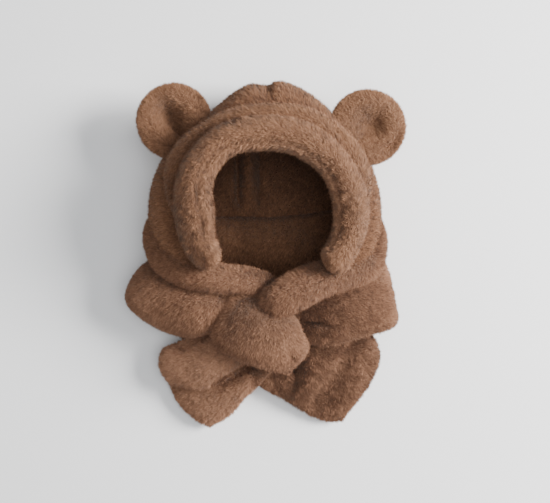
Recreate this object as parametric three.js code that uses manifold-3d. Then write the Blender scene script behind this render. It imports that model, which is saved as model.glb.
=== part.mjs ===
// Animal hood scarf: a padded plush hood with two round ears and a scarf knotted under the chin.
// It lies on its back with the face opening up. Millimetres, +Z up, +Y from the nape to the crown.
import * as THREE from "three";
import { mergeVertices } from "three/addons/utils/BufferGeometryUtils.js";
import Module from "manifold-3d";

const wasm = await Module();
wasm.setup();

// Hood
const HOOD_CENTRE_X = 5; // middle of the face opening
const HOOD_CENTRE_Y = 40;
const OPENING_REACH = 60; // from the middle of the face opening to its edge
const HOOD_WALL = 10; // two layers of plush with the padding between
const RIM_HEIGHT = 86; // table to the seam that carries the brim roll
const BELLY_HEIGHT = 42; // table to the widest line of the hood
const HOOD_BULGE = 20; // how far the widest line lies outside the fold ring
const CONTACT_INSET = 34; // how far the flattened back lies inside the widest line
const CROWN_NOTCH_DEPTH = 5; // dent of the centre seam in the crown
const CROWN_NOTCH_WIDTH = 4; // degrees round the hood
const CROWN_NOTCH_ANGLE = 91;

// Brim roll round the face and the second fold behind it
const BRIM_WIDTH = 35;
const BRIM_HEIGHT = 29;
const BRIM_TILT = 22; // degrees that the roll leans in towards the face
const BRIM_DROP = 13; // how far the roll sinks from the crown to the chin
const BRIM_START = -41; // degrees, the end by the right cheek
const BRIM_END = 226; // degrees, the end by the left cheek
const FOLD_STEP = 15; // how far the fold ring shows outside the brim roll
const FOLD_WIDTH = 32;
const FOLD_HEIGHT = 22;
const FOLD_START = -8;
const FOLD_END = 188;

// Ears
const EAR_WIDTH = 73;
const EAR_LENGTH = 74; // with the part tucked under the fold ring
const EAR_PAD = 20;
const EAR_CUP = 13; // how deep the front of an ear is hollowed
const EAR_HEIGHT = 54; // table to the rim of an ear
const EAR_TUCK = 16; // how far the ear reaches under the fold ring

// Scarf
const SCARF_SPREAD = 138; // middle to the outer corner of a flap
const SCARF_WIDTH = 95; // width of the band where it lies open
const SCARF_LINE = -45; // where the band's middle crosses under the chin
const SCARF_PAD = 18; // padded thickness of the band
const NECK_RISE = 62; // table to the band where it enters the knot
const NECK_HOLE_WIDTH = 124;
const NAPE_THICKNESS = 14;
const ROLL_WIDTH = 34; // folded-over edge of the band beside the cheeks
const ROLL_HEIGHT = 26;
const KNOT_PAD = 30;

const SEAT_GAP = 0.3; // between pieces that lie against each other

const PLUSH = { color: 0x9c7357, roughness: 0.95, metalness: 0 };
const PLUSH_LIGHT = { color: 0xa67d61, roughness: 0.95, metalness: 0 };
const PLUSH_SHADE = { color: 0x86604a, roughness: 0.95, metalness: 0 };

// Rings of the hood, a row every 30 degrees from the right side by the crown to the left side.
// opening is a share of OPENING_REACH, brim of BRIM_WIDTH, fold of FOLD_STEP, bulge of HOOD_BULGE.
const RINGS = [
  { opening: 1.04, brim: 0.97, fold: 0.13, bulge: 0.82 },
  { opening: 1.04, brim: 0.92, fold: 1.0, bulge: 0.33 },
  { opening: 1.0, brim: 0.94, fold: 1.09, bulge: 0.7 },
  { opening: 0.96, brim: 0.98, fold: 0.91, bulge: 1.52 },
  { opening: 1.02, brim: 0.93, fold: 0.89, bulge: 0.5 },
  { opening: 0.96, brim: 0.99, fold: 1.1, bulge: 0.5 },
  { opening: 0.81, brim: 1.13, fold: 0.2, bulge: 1.33 },
  { opening: 0.87, brim: 0.93, fold: 0.13, bulge: 1.4 },
  { opening: 0.93, brim: 0.55, fold: 0.13, bulge: 1.35 },
  { opening: 0.98, brim: 0.98, fold: 0.13, bulge: 0.4 },
  { opening: 0.92, brim: 1.04, fold: 0.13, bulge: 0.5 },
  { opening: 1.05, brim: 0.89, fold: 0.13, bulge: 1.0 },
];

// Ears: where each is sewn on the fold ring and where it points, in degrees from the right side.
const EARS = [
  { name: "left_ear", seat: 137.5, points: 127 },
  { name: "right_ear", seat: 41.5, points: 40 },
];

// Bands of the scarf, a row for each station along them. Each point holds across as a share of
// SCARF_SPREAD, along as a share of SCARF_WIDTH from SCARF_LINE, and up as a share of NECK_RISE.
// pad is a share of SCARF_PAD.
const LEFT_COLLAR = [
  { top: [-0.62, 0.08, 0.15], middle: [-0.64, -0.16, 0.15], hem: [-0.56, -0.42, 0.15], pad: 0.9 },
  { top: [-0.74, 0.26, 0.21], middle: [-0.86, 0.0, 0.2], hem: [-0.68, -0.3, 0.18], pad: 0.9 },
  { top: [-0.79, 0.42, 0.42], middle: [-0.94, 0.02, 0.38], hem: [-0.66, -0.33, 0.3], pad: 1.0 },
  { top: [-0.75, 0.4, 0.64], middle: [-0.9, 0.01, 0.58], hem: [-0.6, -0.36, 0.48], pad: 1.0 },
  { top: [-0.62, 0.32, 0.82], middle: [-0.66, -0.02, 0.8], hem: [-0.5, -0.38, 0.66], pad: 1.05 },
  { top: [-0.4, 0.18, 0.94], middle: [-0.43, -0.06, 0.95], hem: [-0.41, -0.34, 0.8], pad: 1.05 },
  { top: [-0.12, 0.08, 0.94], middle: [-0.2, -0.1, 0.94], hem: [-0.28, -0.28, 0.86], pad: 0.9 },
];
const RIGHT_COLLAR = [
  { top: [0.62, 0.08, 0.15], middle: [0.64, -0.12, 0.15], hem: [0.58, -0.32, 0.15], pad: 0.9 },
  { top: [0.76, 0.3, 0.2], middle: [0.84, 0.0, 0.2], hem: [0.84, -0.26, 0.2], pad: 0.9 },
  { top: [0.83, 0.5, 0.42], middle: [0.9, 0.04, 0.38], hem: [0.96, -0.28, 0.36], pad: 1.0 },
  { top: [0.8, 0.48, 0.66], middle: [0.88, 0.03, 0.62], hem: [0.9, -0.32, 0.58], pad: 1.0 },
  { top: [0.68, 0.34, 0.86], middle: [0.73, 0.0, 0.85], hem: [0.68, -0.4, 0.74], pad: 1.05 },
  { top: [0.49, 0.16, 1.0], middle: [0.49, -0.1, 1.0], hem: [0.44, -0.46, 0.84], pad: 1.1 },
  { top: [0.16, 0.02, 0.94], middle: [0.18, -0.16, 0.94], hem: [0.2, -0.36, 0.86], pad: 0.9 },
];
const NAPE = [
  { top: [-0.63, 0.06, 0.13], middle: [-0.63, -0.17, 0.13], hem: [-0.58, -0.42, 0.13], pad: 0.9 },
  { top: [-0.3, 0.0, 0.13], middle: [-0.3, -0.24, 0.13], hem: [-0.28, -0.5, 0.13], pad: 0.9 },
  { top: [0.3, 0.0, 0.13], middle: [0.3, -0.22, 0.13], hem: [0.28, -0.46, 0.13], pad: 0.9 },
  { top: [0.63, 0.06, 0.13], middle: [0.63, -0.12, 0.13], hem: [0.58, -0.34, 0.13], pad: 0.9 },
];
const LEFT_TAIL_UPPER = [
  { top: [-0.22, -0.34, 0.72], middle: [-0.14, -0.48, 0.74], hem: [-0.04, -0.62, 0.68], pad: 0.9 },
  { top: [-0.44, -0.35, 0.56], middle: [-0.36, -0.59, 0.62], hem: [-0.25, -0.84, 0.56], pad: 1.0 },
  { top: [-0.6, -0.44, 0.4], middle: [-0.55, -0.68, 0.46], hem: [-0.43, -0.94, 0.42], pad: 1.0 },
  { top: [-0.73, -0.53, 0.28], middle: [-0.76, -0.72, 0.3], hem: [-0.68, -0.93, 0.3], pad: 0.9 },
];
const LEFT_TAIL_LOWER = [
  { top: [-0.16, -0.64, 0.5], middle: [-0.07, -0.72, 0.5], hem: [0.02, -0.78, 0.46], pad: 0.9 },
  { top: [-0.34, -0.76, 0.36], middle: [-0.22, -0.9, 0.36], hem: [-0.1, -1.0, 0.32], pad: 1.0 },
  { top: [-0.52, -0.86, 0.22], middle: [-0.4, -1.06, 0.23], hem: [-0.24, -1.25, 0.2], pad: 0.95 },
  { top: [-0.66, -0.94, 0.15], middle: [-0.58, -1.2, 0.14], hem: [-0.4, -1.4, 0.13], pad: 0.85 },
];
const RIGHT_TAIL = [
  { top: [0.16, -0.26, 0.72], middle: [0.46, -0.26, 0.78], hem: [0.74, -0.18, 0.6], pad: 0.95 },
  { top: [0.25, -0.64, 0.48], middle: [0.53, -0.7, 0.4], hem: [0.87, -0.6, 0.32], pad: 1.0 },
  { top: [0.17, -0.96, 0.26], middle: [0.45, -1.04, 0.2], hem: [0.78, -0.98, 0.22], pad: 1.0 },
  { top: [0.16, -1.1, 0.15], middle: [0.4, -1.31, 0.14], hem: [0.6, -1.34, 0.15], pad: 0.85 },
];
const RIGHT_TURN = [
  { top: [0.03, -0.66, 0.4], middle: [0.13, -0.72, 0.42], hem: [0.26, -0.78, 0.4], pad: 0.7 },
  { top: [-0.02, -0.8, 0.25], middle: [0.1, -0.88, 0.27], hem: [0.26, -0.99, 0.26], pad: 0.8 },
  { top: [-0.05, -0.92, 0.13], middle: [0.1, -1.03, 0.14], hem: [0.27, -1.16, 0.14], pad: 0.7 },
];

// The knot: across, along and up as in the bands, pad as a share of KNOT_PAD.
const KNOT = [
  { top: [-0.2, 0.13, 0.9], middle: [0.0, 0.05, 0.98], hem: [0.2, -0.12, 0.92], pad: 0.8 },
  { top: [-0.3, -0.1, 0.84], middle: [-0.01, -0.19, 1.04], hem: [0.28, -0.28, 0.92], pad: 1.0 },
  { top: [-0.36, -0.32, 0.78], middle: [-0.04, -0.44, 1.0], hem: [0.33, -0.46, 0.86], pad: 1.0 },
  { top: [-0.24, -0.53, 0.7], middle: [0.0, -0.67, 0.8], hem: [0.19, -0.78, 0.7], pad: 0.7 },
];

// Rolls beside the cheeks, a row for each station: across, along and up as in the bands,
// wide as a share of ROLL_WIDTH and high as a share of ROLL_HEIGHT.
const LEFT_ROLL = [
  { at: [-0.8, 0.88, 0.62], wide: 0.5, high: 0.6 },
  { at: [-0.75, 0.62, 0.76], wide: 0.8, high: 0.8 },
  { at: [-0.66, 0.42, 0.88], wide: 0.95, high: 0.9 },
  { at: [-0.5, 0.3, 1.0], wide: 0.95, high: 0.95 },
  { at: [-0.34, 0.25, 1.06], wide: 0.9, high: 1.0 },
  { at: [-0.16, 0.23, 1.06], wide: 0.85, high: 0.95 },
  { at: [0.0, 0.18, 0.98], wide: 0.8, high: 0.85 },
  { at: [0.12, 0.08, 0.86], wide: 0.7, high: 0.8 },
];
const RIGHT_ROLL = [
  { at: [0.85, 0.86, 0.62], wide: 0.5, high: 0.6 },
  { at: [0.8, 0.58, 0.78], wide: 0.8, high: 0.8 },
  { at: [0.72, 0.38, 0.92], wide: 1.05, high: 0.95 },
  { at: [0.56, 0.28, 1.04], wide: 1.1, high: 1.0 },
  { at: [0.38, 0.22, 1.16], wide: 1.1, high: 1.0 },
  { at: [0.23, 0.12, 1.2], wide: 1.1, high: 1.0 },
  { at: [0.1, 0.02, 1.16], wide: 1.05, high: 0.95 },
  { at: [-0.02, -0.07, 1.02], wide: 0.9, high: 0.8 },
];

const UP = new THREE.Vector3(0, 0, 1);
const radians = THREE.MathUtils.degToRad;
const lerp = THREE.MathUtils.lerp;

// Value of a column of RINGS at any angle, on a smooth closed curve through the rows.
function ringShare(column, degrees) {
  const place = THREE.MathUtils.euclideanModulo(degrees, 360) / (360 / RINGS.length);
  const first = Math.floor(place);
  const t = place - first;
  const row = (i) => RINGS[(first + i + RINGS.length) % RINGS.length][column];
  const [a, b, c, d] = [row(-1), row(0), row(1), row(2)];
  return b + 0.5 * t * (c - a + t * (2 * a - 5 * b + 4 * c - d + t * (3 * (b - c) + d - a)));
}

const openingReach = (degrees) => OPENING_REACH * ringShare("opening", degrees);
const brimReach = (degrees) => openingReach(degrees) + BRIM_WIDTH * ringShare("brim", degrees);
const brimMiddle = (degrees) => (openingReach(degrees) + brimReach(degrees)) / 2;
const foldReach = (degrees) => brimReach(degrees) + FOLD_STEP * ringShare("fold", degrees);

// Widest line of the hood, with the dent of the crown seam.
function bellyReach(degrees) {
  const off = (degrees - CROWN_NOTCH_ANGLE) / CROWN_NOTCH_WIDTH;
  const notch = CROWN_NOTCH_DEPTH * Math.exp(-off * off);
  return foldReach(degrees) + HOOD_BULGE * ringShare("bulge", degrees) - notch;
}

// How far the rim has sunk at an angle: nothing at the crown, BRIM_DROP at the chin.
const rimDrop = (degrees) => (BRIM_DROP * (1 - Math.sin(radians(degrees)))) / 2;
const brimHeight = (degrees) => RIM_HEIGHT + BRIM_HEIGHT * 0.4 - rimDrop(degrees);

function hoodPoint(degrees, reach, height) {
  const angle = radians(degrees);
  const x = HOOD_CENTRE_X + reach * Math.cos(angle);
  const y = HOOD_CENTRE_Y + reach * Math.sin(angle);
  return new THREE.Vector3(x, y, height);
}

// Closed skin over rings of points. The first and the last ring are drawn together at their middle.
function closedSkin(rings) {
  const count = rings[0].length;
  const points = rings.flat();
  const faces = [];
  for (let i = 0; i + 1 < rings.length; i++) {
    for (let j = 0; j < count; j++) {
      const next = (j + 1) % count;
      const [a, b] = [i * count + j, i * count + next];
      const [c, d] = [a + count, b + count];
      faces.push(a, b, d, a, d, c);
    }
  }
  const cap = (start, outward) => {
    const middle = new THREE.Vector3();
    for (let j = 0; j < count; j++) middle.addScaledVector(points[start + j], 1 / count);
    const tip = points.push(middle) - 1;
    for (let j = 0; j < count; j++) {
      const [a, b] = [start + j, start + ((j + 1) % count)];
      faces.push(tip, ...(outward ? [a, b] : [b, a]));
    }
  };
  cap(0, false);
  cap((rings.length - 1) * count, true);
  return skinGeometry(points, faces);
}

function skinGeometry(points, faces) {
  const geometry = new THREE.BufferGeometry().setFromPoints(points);
  geometry.setIndex(faces);
  return geometry;
}

// Roll of padded cloth along a path. A station has at, half sizes wide and high, and a lean in degrees.
// The ends are rounded off over the given share of the length.
function roll(stations, steps, sides, endShare) {
  const path = new THREE.CatmullRomCurve3(stations.map((s) => s.at));
  const column = (key, t) => {
    const place = Math.min(t * (stations.length - 1), stations.length - 1.001);
    const i = Math.floor(place);
    return lerp(stations[i][key], stations[i + 1][key], place - i);
  };
  const rings = [];
  for (let i = 0; i <= steps; i++) {
    const t = 0.5 - 0.5 * Math.cos((Math.PI * (i + 0.35)) / (steps + 0.7));
    const nearEnd = Math.min(1, Math.min(t, 1 - t) / endShare);
    const size = Math.sqrt(1 - (1 - nearEnd) ** 2);
    const at = path.getPoint(t);
    const along = path.getTangent(t);
    const side = new THREE.Vector3().crossVectors(along, UP).normalize();
    const lean = radians(column("lean", t));
    side.applyAxisAngle(along, lean);
    const up = new THREE.Vector3().crossVectors(side, along).normalize();
    const ring = [];
    for (let j = 0; j < sides; j++) {
      const angle = (2 * Math.PI * j) / sides;
      const point = at.clone();
      point.addScaledVector(side, column("wide", t) * size * Math.cos(angle));
      point.addScaledVector(up, column("high", t) * size * Math.sin(angle));
      ring.push(point);
    }
    rings.push(ring);
  }
  return closedSkin(rings);
}

// Pillow over a middle surface: surface(p, q) gives its point and pad(p, q) half its thickness,
// with p across and q along from -1 to 1. round draws the square in towards a disc.
function pillow({ surface, pad, across, along, round }) {
  const spread = (i, n) => -Math.cos((Math.PI * i) / n);
  const place = (p, q) => {
    const x = p * Math.sqrt(1 - (round * q * q) / 2);
    const y = q * Math.sqrt(1 - (round * p * p) / 2);
    return surface(x, y);
  };
  const step = 0.01;
  const points = [];
  for (const side of [1, -1]) {
    for (let i = 0; i <= along; i++) {
      for (let j = 0; j <= across; j++) {
        const [p, q] = [spread(j, across), spread(i, along)];
        const inner = [p, q].map((v) => THREE.MathUtils.clamp(v, -0.97, 0.97));
        const middle = place(...inner);
        const ahead = place(inner[0], inner[1] + step).sub(middle);
        const aside = place(inner[0] + step, inner[1]).sub(middle);
        const normal = aside.cross(ahead).normalize();
        const edge = Math.sqrt(Math.max(0, (1 - p ** 4) * (1 - q ** 4)));
        const point = place(p, q).addScaledVector(normal, side * edge * pad(p, q));
        points.push(point);
      }
    }
  }
  const width = across + 1;
  const sheet = width * (along + 1);
  const faces = [];
  for (let i = 0; i < along; i++) {
    for (let j = 0; j < across; j++) {
      const a = i * width + j;
      const [b, c, d] = [a + 1, a + width + 1, a + width];
      faces.push(a, b, c, a, c, d, a + sheet, c + sheet, b + sheet, a + sheet, d + sheet, c + sheet);
    }
  }
  return skinGeometry(points, faces);
}

const scarfPoint = ([across, along, up]) =>
  new THREE.Vector3(across * SCARF_SPREAD, SCARF_LINE + along * SCARF_WIDTH, up * NECK_RISE);

// Padded band through the rows of a table, arched across from its top edge over its middle to its hem.
function band(rows, thickness, across, along, round = 0.2) {
  const rail = (key) => new THREE.CatmullRomCurve3(rows.map((row) => scarfPoint(row[key])));
  const [top, middle, hem] = [rail("top"), rail("middle"), rail("hem")];
  const surface = (p, q) => {
    const t = THREE.MathUtils.clamp((q + 1) / 2, 0, 1);
    const point = top.getPoint(t).multiplyScalar((p * (p - 1)) / 2);
    point.addScaledVector(middle.getPoint(t), 1 - p * p);
    return point.addScaledVector(hem.getPoint(t), (p * (p + 1)) / 2);
  };
  const pad = (p, q) => {
    const place = Math.min(((q + 1) / 2) * (rows.length - 1), rows.length - 1.001);
    const i = Math.floor(place);
    return (thickness / 2) * lerp(rows[i].pad, rows[i + 1].pad, place - i);
  };
  return pillow({ surface, pad, across, along, round });
}

// Presses what would lie below the table flat on it.
function rested(geometry) {
  const position = geometry.attributes.position;
  for (let i = 0; i < position.count; i++) position.setZ(i, Math.max(0, position.getZ(i)));
  return geometry;
}

// Closed mesh with its points merged and its faces turned outwards.
function merged(geometry) {
  geometry.deleteAttribute("normal");
  geometry.deleteAttribute("uv");
  const whole = mergeVertices(geometry, 1e-3);
  const position = whole.attributes.position;
  const corner = (i) => new THREE.Vector3().fromBufferAttribute(position, whole.index.getX(i));
  const kept = [];
  let volume = 0;
  for (let i = 0; i < whole.index.count; i += 3) {
    const ids = [0, 1, 2].map((k) => whole.index.getX(i + k));
    if (new Set(ids).size < 3) continue;
    kept.push(ids);
    volume += corner(i).dot(corner(i + 1).cross(corner(i + 2)));
  }
  whole.setIndex(kept.flatMap(([a, b, c]) => (volume < 0 ? [a, c, b] : [a, b, c])));
  return whole;
}

// The same skin moved outwards by a gap.
function grown(geometry, gap) {
  const whole = geometry.clone();
  whole.computeVertexNormals();
  const { position, normal } = whole.attributes;
  for (let i = 0; i < position.count; i++) {
    position.setX(i, position.getX(i) + gap * normal.getX(i));
    position.setY(i, position.getY(i) + gap * normal.getY(i));
    position.setZ(i, position.getZ(i) + gap * normal.getZ(i));
  }
  whole.deleteAttribute("normal");
  return whole;
}

function solid(geometry) {
  const vertProperties = new Float32Array(geometry.attributes.position.array);
  const triVerts = new Uint32Array(geometry.index.array);
  return new wasm.Manifold(new wasm.Mesh({ numProp: 3, vertProperties, triVerts }));
}

function geometryOf(body) {
  const mesh = body.getMesh();
  const geometry = new THREE.BufferGeometry();
  geometry.setAttribute("position", new THREE.BufferAttribute(mesh.vertProperties, 3));
  geometry.setIndex(new THREE.BufferAttribute(mesh.triVerts, 1));
  return geometry;
}

// The largest body of a cut, without the loose crumbs that a cut through padding leaves.
const mainBody = (body) =>
  body.decompose().reduce((best, other) => (other.volume() > best.volume() ? other : best));

// Padded bowl of the hood: out from the flattened back, over the widest line to the rim, and back inside.
function hoodShell() {
  const turns = 54;
  const stepsOut = 7;
  const stepsIn = 5;
  const angles = Array.from({ length: turns }, (_, i) => (360 * i) / turns);
  const ring = (reach, height) => angles.map((a) => hoodPoint(a, reach(a), height(a)));
  const rim = (a) => RIM_HEIGHT - rimDrop(a);
  const contact = (a) => bellyReach(a) - CONTACT_INSET;
  const rings = [];
  for (let i = 0; i <= stepsOut; i++) {
    const turn = (Math.PI / 2) * (i / stepsOut);
    const reach = (a) => lerp(contact(a), bellyReach(a), Math.sin(turn));
    rings.push(ring(reach, () => BELLY_HEIGHT * (1 - Math.cos(turn))));
  }
  for (let i = 1; i <= stepsOut; i++) {
    const turn = (Math.PI / 2) * (i / stepsOut);
    const reach = (a) => lerp(brimMiddle(a) + HOOD_WALL / 2, bellyReach(a), Math.cos(turn));
    rings.push(ring(reach, (a) => lerp(BELLY_HEIGHT, rim(a), Math.sin(turn))));
  }
  for (let i = stepsIn; i >= 0; i--) {
    const turn = (Math.PI / 2) * (i / stepsIn);
    const reach = (a) => lerp(brimMiddle(a) - HOOD_WALL / 2, bellyReach(a) - HOOD_WALL, Math.cos(turn));
    rings.push(ring(reach, (a) => lerp(BELLY_HEIGHT, rim(a), Math.sin(turn))));
  }
  for (let i = stepsIn - 1; i >= 0; i--) {
    const turn = (Math.PI / 2) * (i / stepsIn);
    const reach = (a) => lerp(contact(a), bellyReach(a) - HOOD_WALL, Math.sin(turn));
    rings.push(ring(reach, () => lerp(BELLY_HEIGHT, HOOD_WALL, Math.cos(turn))));
  }
  return merged(closedSkin(rings));
}

// Space that the neck fills: open above, with a rounded bottom over the nape.
function neckSpace() {
  const half = NECK_HOLE_WIDTH / 2;
  const corner = 12;
  const top = 2 * RIM_HEIGHT;
  const outline = new THREE.Shape();
  outline.moveTo(-half, top);
  outline.lineTo(-half, NAPE_THICKNESS + corner);
  outline.absarc(-half + corner, NAPE_THICKNESS + corner, corner, Math.PI, 1.5 * Math.PI);
  outline.absarc(half - corner, NAPE_THICKNESS + corner, corner, 1.5 * Math.PI, 2 * Math.PI);
  outline.lineTo(half, top);
  outline.closePath();
  const depth = 3 * OPENING_REACH;
  const space = new THREE.ExtrudeGeometry(outline, { depth, bevelEnabled: false, curveSegments: 4 });
  space.rotateX(Math.PI / 2);
  space.translate(HOOD_CENTRE_X, HOOD_CENTRE_Y - OPENING_REACH, 0);
  return merged(space);
}

function brimRoll() {
  const steps = 34;
  const stations = Array.from({ length: steps + 1 }, (_, i) => {
    const degrees = lerp(BRIM_START, BRIM_END, i / steps);
    const at = hoodPoint(degrees, brimMiddle(degrees), brimHeight(degrees));
    const wide = (BRIM_WIDTH * ringShare("brim", degrees)) / 2;
    return { at, wide, high: BRIM_HEIGHT / 2, lean: BRIM_TILT };
  });
  return merged(roll(stations, steps, 12, 0.035));
}

function hoodFold() {
  const steps = 26;
  const stations = Array.from({ length: steps + 1 }, (_, i) => {
    const degrees = lerp(FOLD_START, FOLD_END, i / steps);
    const reach = foldReach(degrees) - FOLD_WIDTH / 2;
    const at = hoodPoint(degrees, reach, brimHeight(degrees) - 0.75 * FOLD_HEIGHT);
    return { at, wide: FOLD_WIDTH / 2, high: FOLD_HEIGHT / 2, lean: 0 };
  });
  return merged(roll(stations, steps, 12, 0.12));
}

// Round cupped ear, sewn under the fold ring at an angle round the hood.
function ear({ seat, points }) {
  const base = hoodPoint(seat, foldReach(seat) - EAR_TUCK, EAR_HEIGHT);
  const out = new THREE.Vector3(Math.cos(radians(points)), Math.sin(radians(points)), 0);
  const side = new THREE.Vector3().crossVectors(out, UP);
  const surface = (p, q) => {
    const point = base.clone().addScaledVector(out, (EAR_LENGTH * (q + 1)) / 2);
    point.addScaledVector(side, (EAR_WIDTH * p) / 2);
    point.z -= EAR_CUP * Math.exp(-2.5 * (p * p + (q - 0.1) ** 2));
    return point;
  };
  return merged(pillow({ surface, pad: () => EAR_PAD / 2, across: 10, along: 12, round: 1 }));
}

function neckRoll(rows) {
  const stations = rows.map(({ at, wide, high }) => ({
    at: scarfPoint(at),
    wide: (ROLL_WIDTH * wide) / 2,
    high: (ROLL_HEIGHT * high) / 2,
    lean: 0,
  }));
  return merged(roll(stations, 18, 12, 0.14));
}

const scarfBand = (rows, across, along) => merged(rested(band(rows, SCARF_PAD, across, along)));

// Shape and finish of each piece, in the order in which the pieces press into each other:
// a later piece is cut back where an earlier one lies against it.
const PIECES = [
  { name: "brim_roll", parts: [brimRoll()], finish: PLUSH_LIGHT },
  { name: "knot", parts: [merged(band(KNOT, KNOT_PAD, 10, 10, 0.25))], finish: PLUSH_LIGHT },
  { name: "right_neck_roll", parts: [neckRoll(RIGHT_ROLL)], finish: PLUSH },
  { name: "left_neck_roll", parts: [neckRoll(LEFT_ROLL)], finish: PLUSH_SHADE },
  { name: "hood_fold", parts: [hoodFold()], finish: PLUSH },
  { name: "hood_shell", parts: [hoodShell()], without: [neckSpace()], finish: PLUSH },
  ...EARS.map((row) => ({ name: row.name, parts: [ear(row)], finish: PLUSH_LIGHT })),
  { name: "right_collar", parts: [scarfBand(RIGHT_COLLAR, 9, 20)], finish: PLUSH },
  { name: "left_collar", parts: [scarfBand(LEFT_COLLAR, 9, 20)], finish: PLUSH },
  { name: "nape_band", parts: [scarfBand(NAPE, 8, 12)], finish: PLUSH_SHADE },
  {
    name: "right_tail",
    parts: [scarfBand(RIGHT_TAIL, 9, 12), scarfBand(RIGHT_TURN, 6, 8)],
    finish: PLUSH,
  },
  {
    name: "left_tail",
    parts: [scarfBand(LEFT_TAIL_UPPER, 8, 12), scarfBand(LEFT_TAIL_LOWER, 8, 12)],
    finish: PLUSH_LIGHT,
  },
];

const hoodScarf = new THREE.Group();
const seats = [];
for (const { name, parts, without = [], finish } of PIECES) {
  let body = parts.map(solid).reduce((whole, next) => whole.add(next));
  for (const space of without) body = body.subtract(solid(space));
  for (const seat of seats) body = body.subtract(seat);
  seats.push(...parts.map((part) => solid(grown(part, SEAT_GAP))));
  const mesh = new THREE.Mesh(geometryOf(mainBody(body)), new THREE.MeshStandardMaterial(finish));
  mesh.name = name;
  hoodScarf.add(mesh);
}

export default hoodScarf;
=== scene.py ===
"""Visual model of an animal hood scarf: padded plush, two round ears and a scarf knotted at the chin.

The hood lies on its back with the face opening up. Sizes are metres and angles degrees, in the frame
of the solids: +Z up from the table, +Y from the nape to the crown.
"""

import logging
from collections.abc import Callable
from dataclasses import dataclass
from enum import Enum
from typing import Protocol

import bpy
import numpy as np
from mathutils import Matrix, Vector


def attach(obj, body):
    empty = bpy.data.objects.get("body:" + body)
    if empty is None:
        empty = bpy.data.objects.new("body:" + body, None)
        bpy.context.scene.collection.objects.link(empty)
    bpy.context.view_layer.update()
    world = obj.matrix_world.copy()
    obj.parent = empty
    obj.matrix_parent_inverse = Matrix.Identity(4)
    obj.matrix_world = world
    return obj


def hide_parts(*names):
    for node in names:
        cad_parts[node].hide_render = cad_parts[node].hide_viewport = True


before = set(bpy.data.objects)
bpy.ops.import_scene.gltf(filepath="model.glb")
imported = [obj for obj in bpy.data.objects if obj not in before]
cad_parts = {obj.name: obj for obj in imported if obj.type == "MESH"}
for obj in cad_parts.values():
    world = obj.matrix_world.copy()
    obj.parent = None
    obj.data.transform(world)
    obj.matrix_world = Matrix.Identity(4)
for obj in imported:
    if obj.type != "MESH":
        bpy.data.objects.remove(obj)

log = logging.getLogger("hood_scarf")

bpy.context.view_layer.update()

UP = np.array([0.0, 0.0, 1.0])
TABLE_GAP = 0.0002  # between the pile and the table
NEAR_TABLE = 0.003  # height below which cloth that faces down lies on the table
CHART = "OFBake"  # name of the map that spreads each skin flat
CHART_EDGE = 0.02  # of the flat map, left free above and below a skin
LATTICE = 32  # random values along each side of the noise before it repeats
END_RINGS = 8  # rings of each round end of a roll
END_TURN = 0.06  # of the quarter circle, in radians, at which the first ring stands
STEP = 1e-4  # share of a roll's length over which its direction is taken
BEND = 0.04  # square of the share of its half width over which a crisp band turns
NAP_DROP = -0.5  # how much the pile falls towards the table as it falls sideways

Points = np.ndarray
Surface = Callable[[np.ndarray, np.ndarray], Points]
Profile = Callable[[np.ndarray], np.ndarray]
Nap = Callable[[Points], Points]
Shade = Callable[[Points], np.ndarray]
Line = tuple[tuple[float, float], ...]
Triple = tuple[float, float, float]


class Region(Enum):
    """Regions of the hood scarf that have their own plush."""

    HOOD = "hood"
    BRIM = "brim"
    EAR = "ear"
    SCARF = "scarf"


class Side(Enum):
    """Sides of the hood scarf, as seen from above."""

    LEFT = "left"
    RIGHT = "right"


def unit(vectors: Points) -> Points:
    """Vectors of length one in the same directions."""
    return vectors / np.maximum(np.linalg.norm(vectors, axis=-1, keepdims=True), 1e-12)


def smooth_step(low: float, high: float, value: np.ndarray) -> np.ndarray:
    """Rises from 0 at low to 1 at high along 3t^2 - 2t^3."""
    t = np.clip((value - low) / (high - low), 0.0, 1.0)
    return t * t * (3.0 - 2.0 * t)


def smooth_noise(points: Points, size: float, seed: int) -> np.ndarray:
    """Smooth random field from -1 to 1.

    Random values sit on a cubic lattice with cells of the given size, and each point takes the
    blend of its eight neighbours, weighted by the smooth step along each axis.

    Args:
        points: Places, with x, y and z in the last axis.
        size: Edge of a lattice cell.
        seed: Choice of the random values.

    Returns:
        One value for each point.
    """
    values = np.random.default_rng(seed).uniform(-1.0, 1.0, (LATTICE, LATTICE, LATTICE))
    cell = np.floor(points / size)
    share = smooth_step(0.0, 1.0, points / size - cell)
    low = cell.astype(np.int64) % LATTICE
    high = (low + 1) % LATTICE
    total = np.zeros(points.shape[:-1])
    for ix, wx in ((low[..., 0], 1 - share[..., 0]), (high[..., 0], share[..., 0])):
        for iy, wy in ((low[..., 1], 1 - share[..., 1]), (high[..., 1], share[..., 1])):
            for iz, wz in ((low[..., 2], 1 - share[..., 2]), (high[..., 2], share[..., 2])):
                total += wx * wy * wz * values[ix, iy, iz]
    return total


def noise_vectors(points: Points, size: float, seed: int) -> Points:
    """Smooth random vectors, each part from -1 to 1."""
    return np.stack([smooth_noise(points, size, seed + k) for k in range(3)], axis=-1)


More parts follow.
